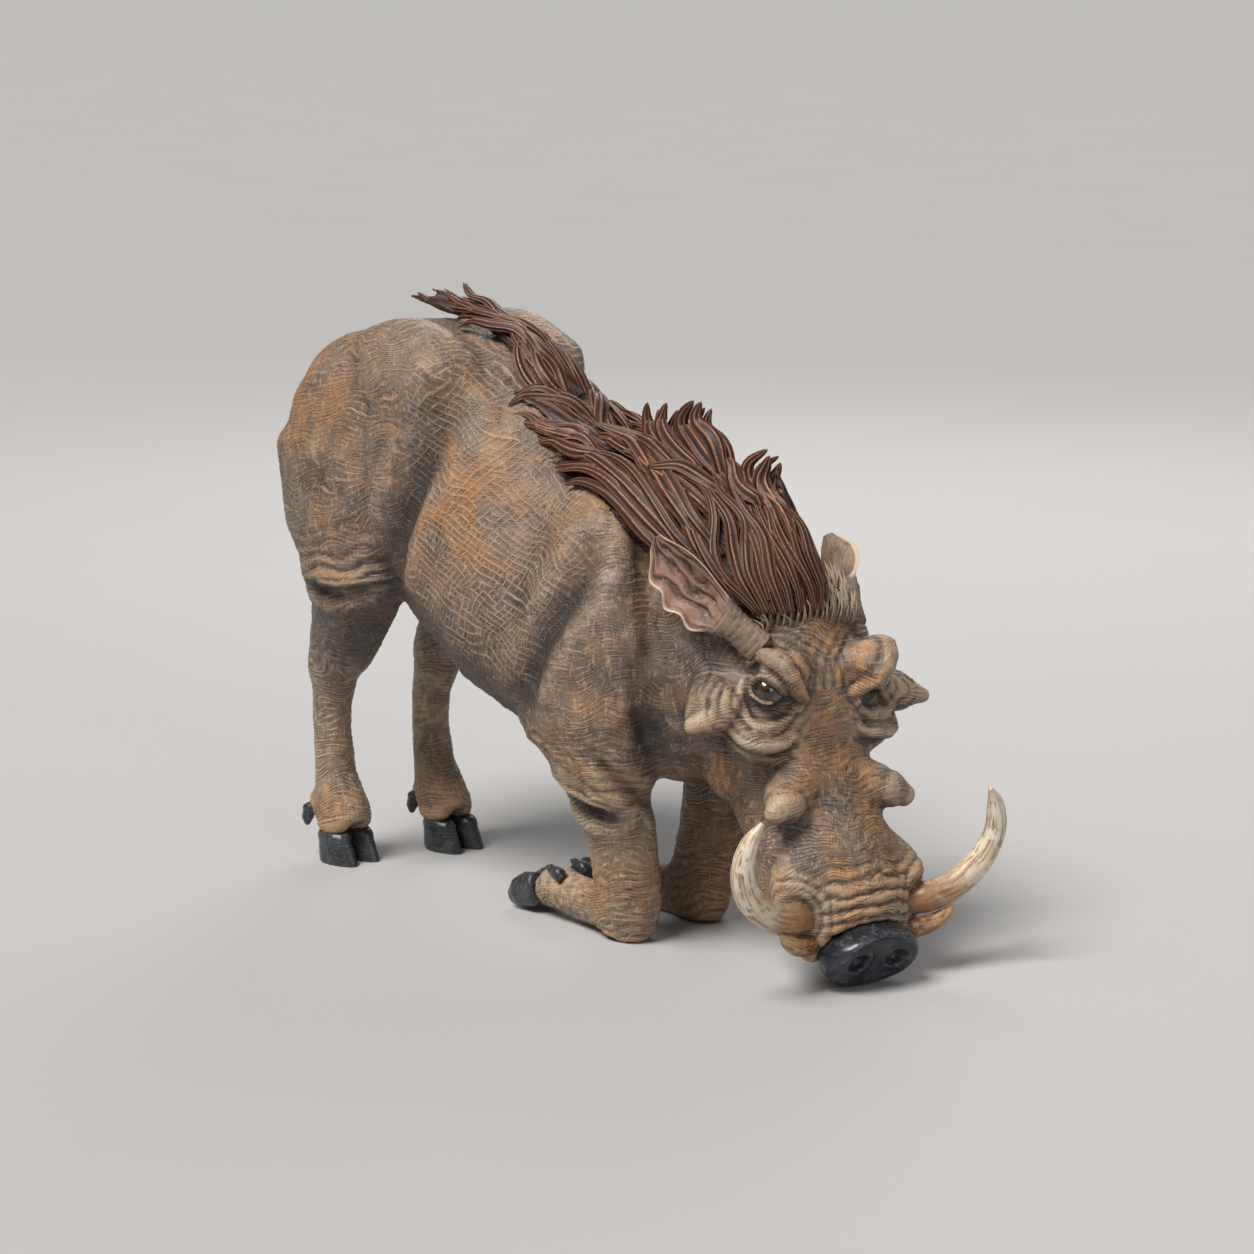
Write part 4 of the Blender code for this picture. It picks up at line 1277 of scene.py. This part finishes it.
def ear_material():
    """Grey-brown outside, pinkish brown folds inside with painted shade in their hollows, pale brushed
    rim.
    """
    n = Nodes("ear_paint")
    relief, rim, inner, _ = n.attribute("paint")
    at = n.place()
    cloud = n.noise(at, 260.0, 3.0)
    fine = n.noise(at, 1500.0, 3.0)
    outside = n.mix(n.step(cloud, 0.35, 0.65), (0.13, 0.095, 0.075), (0.28, 0.19, 0.13))
    # painted shade in the hollows of the ear's folds
    fold_shade = n.less(n.step(relief, 0.1, 0.6))
    outside = n.mix(n.times(fold_shade, 0.6), outside, (0.05, 0.035, 0.028))
    inside = n.mix(n.step(cloud, 0.38, 0.62), (0.12, 0.070, 0.056), (0.25, 0.12, 0.09))
    inside = n.mix(fold_shade, inside, (0.05, 0.026, 0.022))
    inside = n.mix(n.times(n.step(relief, 0.8, 1.0), 0.5), inside, (0.48, 0.27, 0.20))
    colour = n.mix(inner, outside, inside)
    colour = n.mix(n.times(n.step(fine, 0.5, 0.7), 0.4), colour, (0.42, 0.30, 0.21))
    edge = n.step(n.plus(rim, n.times(fine, 0.3)), 0.35, 0.95)
    colour = n.mix(edge, colour, (0.60, 0.45, 0.32))
    n.coat(colour, n.plus(0.45, n.times(fine, 0.25)))
    n.bump(fine, 0.5, 0.00015)
    return n.material


def ivory_material():
    """Cream ivory with brown specks in the grooves and a brown root."""
    n = Nodes("ivory_paint")
    cut, along, chip, _ = n.attribute("paint")
    at = n.place()
    speck = n.noise(at, 900.0, 4.0, 0.65)
    cloud = n.noise(at, 170.0, 3.0)
    colour = n.mix(n.step(cloud, 0.35, 0.65), (0.80, 0.72, 0.59), (0.64, 0.49, 0.31))
    stain = n.times(cut, n.step(n.noise(at, 420.0, 2.0), 0.38, 0.52))
    colour = n.mix(n.times(stain, 0.92), colour, (0.22, 0.105, 0.04))
    colour = n.mix(n.times(chip, n.step(speck, 0.45, 0.65)), colour, (0.30, 0.19, 0.10))
    root = n.less(n.step(n.plus(along, n.times(speck, 0.2)), 0.24, 0.62))
    colour = n.mix(n.times(root, 0.92), colour, (0.29, 0.125, 0.042))
    colour = n.mix(n.times(n.step(along, 0.82, 1.0), 0.5), colour, (0.60, 0.42, 0.24))
    n.coat(colour, n.plus(0.25, n.times(speck, 0.22)))
    n.bump(speck, 0.25, 0.0001)
    return n.material


def horn_material():
    """Brown horn with dark grooves."""
    n = Nodes("horn_paint")
    cut, along, *_ = n.attribute("paint")
    speck = n.noise(n.place(), 900.0, 3.0)
    colour = n.mix(n.step(along, 0.1, 0.95), (0.24, 0.105, 0.04), (0.50, 0.30, 0.15))
    colour = n.mix(n.times(cut, 0.8), colour, (0.07, 0.03, 0.015))
    colour = n.mix(n.times(n.step(speck, 0.5, 0.7), 0.5), colour, (0.55, 0.38, 0.22))
    n.coat(colour, n.plus(0.3, n.times(speck, 0.2)))
    n.bump(speck, 0.3, 0.0001)
    return n.material


def slate(name, dark, light, pale, rough, wear, grit):
    """Near-black slate paint, made pale on what stands up; on the nose pad this is a painted highlight."""
    n = Nodes(name)
    relief = n.attribute("paint")[0]
    at = n.place()
    fine = n.noise(at, 1300.0, 4.0, 0.6)
    cloud = n.noise(at, 250.0, 2.0)
    colour = n.mix(n.step(cloud, 0.3, 0.7), dark, light)
    # paler on what stands up: on the nose pad a painted highlight
    wear_and_highlight = n.times(n.step(relief, 0.55, 1.0), n.step(fine, 0.42, 0.65))
    colour = n.mix(n.times(wear_and_highlight, wear), colour, pale)
    n.coat(colour, n.plus(rough, n.times(fine, 0.25)))
    n.bump(fine, grit, 0.00012)
    return n.material


def hoof_material():
    return slate("hoof_paint", (0.018, 0.020, 0.024), (0.045, 0.048, 0.054), (0.18, 0.18, 0.18),
                 rough=0.20, wear=0.4, grit=0.4)


def nose_material():
    # the pale bluish colour is the painted highlight on the pad's rim and face
    return slate("nose_paint", (0.010, 0.012, 0.015), (0.036, 0.041, 0.050), (0.15, 0.17, 0.20),
                 rough=0.14, wear=0.45, grit=0.2)


def eye_material():
    """A black pupil in a dark brown streaked iris, under a wet coat."""
    n = Nodes("eye_paint")
    off_axis = n.attribute("paint")[0]
    fine = n.noise(n.place(), 1600.0, 3.0)
    iris = n.mix(n.step(fine, 0.35, 0.65), (0.022, 0.009, 0.004), (0.085, 0.034, 0.013))
    colour = n.mix(n.step(off_axis, 0.085, 0.10), (0.002, 0.002, 0.002), iris)
    colour = n.mix(n.step(off_axis, 0.21, 0.26), colour, (0.012, 0.007, 0.005))
    n.coat(colour, 0.12)
    n.shader.inputs["Coat Weight"].default_value = 1.0
    n.shader.inputs["Coat Roughness"].default_value = 0.03
    return n.material


# ---------------------------------------------------------------- studio

CAMERA_AT = (-461.77, -487.23, 188.57)
CAMERA_AZIMUTH = math.radians(-44)
CAMERA_ELEVATION = math.radians(11)


def make_camera():
    data = bpy.data.cameras.new("camera")
    data.lens = 98.47
    data.sensor_width = 36
    data.dof.use_dof = False
    camera = bpy.data.objects.new("camera", data)
    camera.location = place(CAMERA_AT)
    back = Vector((math.sin(CAMERA_AZIMUTH) * math.cos(CAMERA_ELEVATION),
                   -math.cos(CAMERA_AZIMUTH) * math.cos(CAMERA_ELEVATION),
                   math.sin(CAMERA_ELEVATION)))
    camera.rotation_euler = (-back).to_track_quat("-Z", "Y").to_euler()
    show(camera)
    bpy.context.scene.camera = camera


def area_light(name, at, aim, size, power, colour=(1, 1, 1)):
    data = bpy.data.lights.new(name, "AREA")
    data.shape = "SQUARE"
    data.size = size
    data.energy = power
    data.color = colour
    light = bpy.data.objects.new(name, data)
    light.location = at
    light.rotation_euler = (Vector(aim) - Vector(at)).to_track_quat("-Z", "Y").to_euler()
    show(light)


def floor_material():
    n = Nodes("floor_paint")
    cloud = n.noise(n.place(), 9.0, 3.0)
    colour = n.mix(cloud, (0.46, 0.455, 0.45), (0.48, 0.475, 0.47))
    n.coat(colour, 0.9)
    return n.material


def make_studio():
    bm = bmesh.new()
    bmesh.ops.create_grid(bm, x_segments=1, y_segments=1, size=80.0)
    floor = object_from(bm, "floor")
    floor.data.materials.append(floor_material())
    world = bpy.data.worlds.new("world")
    world.use_nodes = True
    world.node_tree.nodes["Background"].inputs[0].default_value = (0.86, 0.86, 0.88, 1)
    world.node_tree.nodes["Background"].inputs[1].default_value = 0.2
    bpy.context.scene.world = world
    lamp = bpy.data.lights.new("key", "SUN")
    lamp.energy, lamp.angle, lamp.color = 3.6, math.radians(28), (1.0, 0.975, 0.94)
    key = bpy.data.objects.new("key", lamp)
    key.rotation_euler = Vector((-0.55, 0.02, 0.85)).to_track_quat("Z", "Y").to_euler()
    show(key)
    area_light("fill", (-0.25, -0.85, 0.35), (0, 0, 0.05), 0.4, 1.2, (0.93, 0.96, 1.0))
    area_light("rim", (0.5, 0.35, 0.5), (0, 0, 0.06), 0.3, 1.4, (1.0, 0.98, 0.96))
    bpy.context.scene.view_settings.view_transform = "Standard"


make_studio()
make_camera()
skin_tree = make_skin()
make_mane()
make_fringe(skin_tree)
make_tail()
make_ears()
make_tusks()
make_nose_pad()
make_eyes()
make_feet()
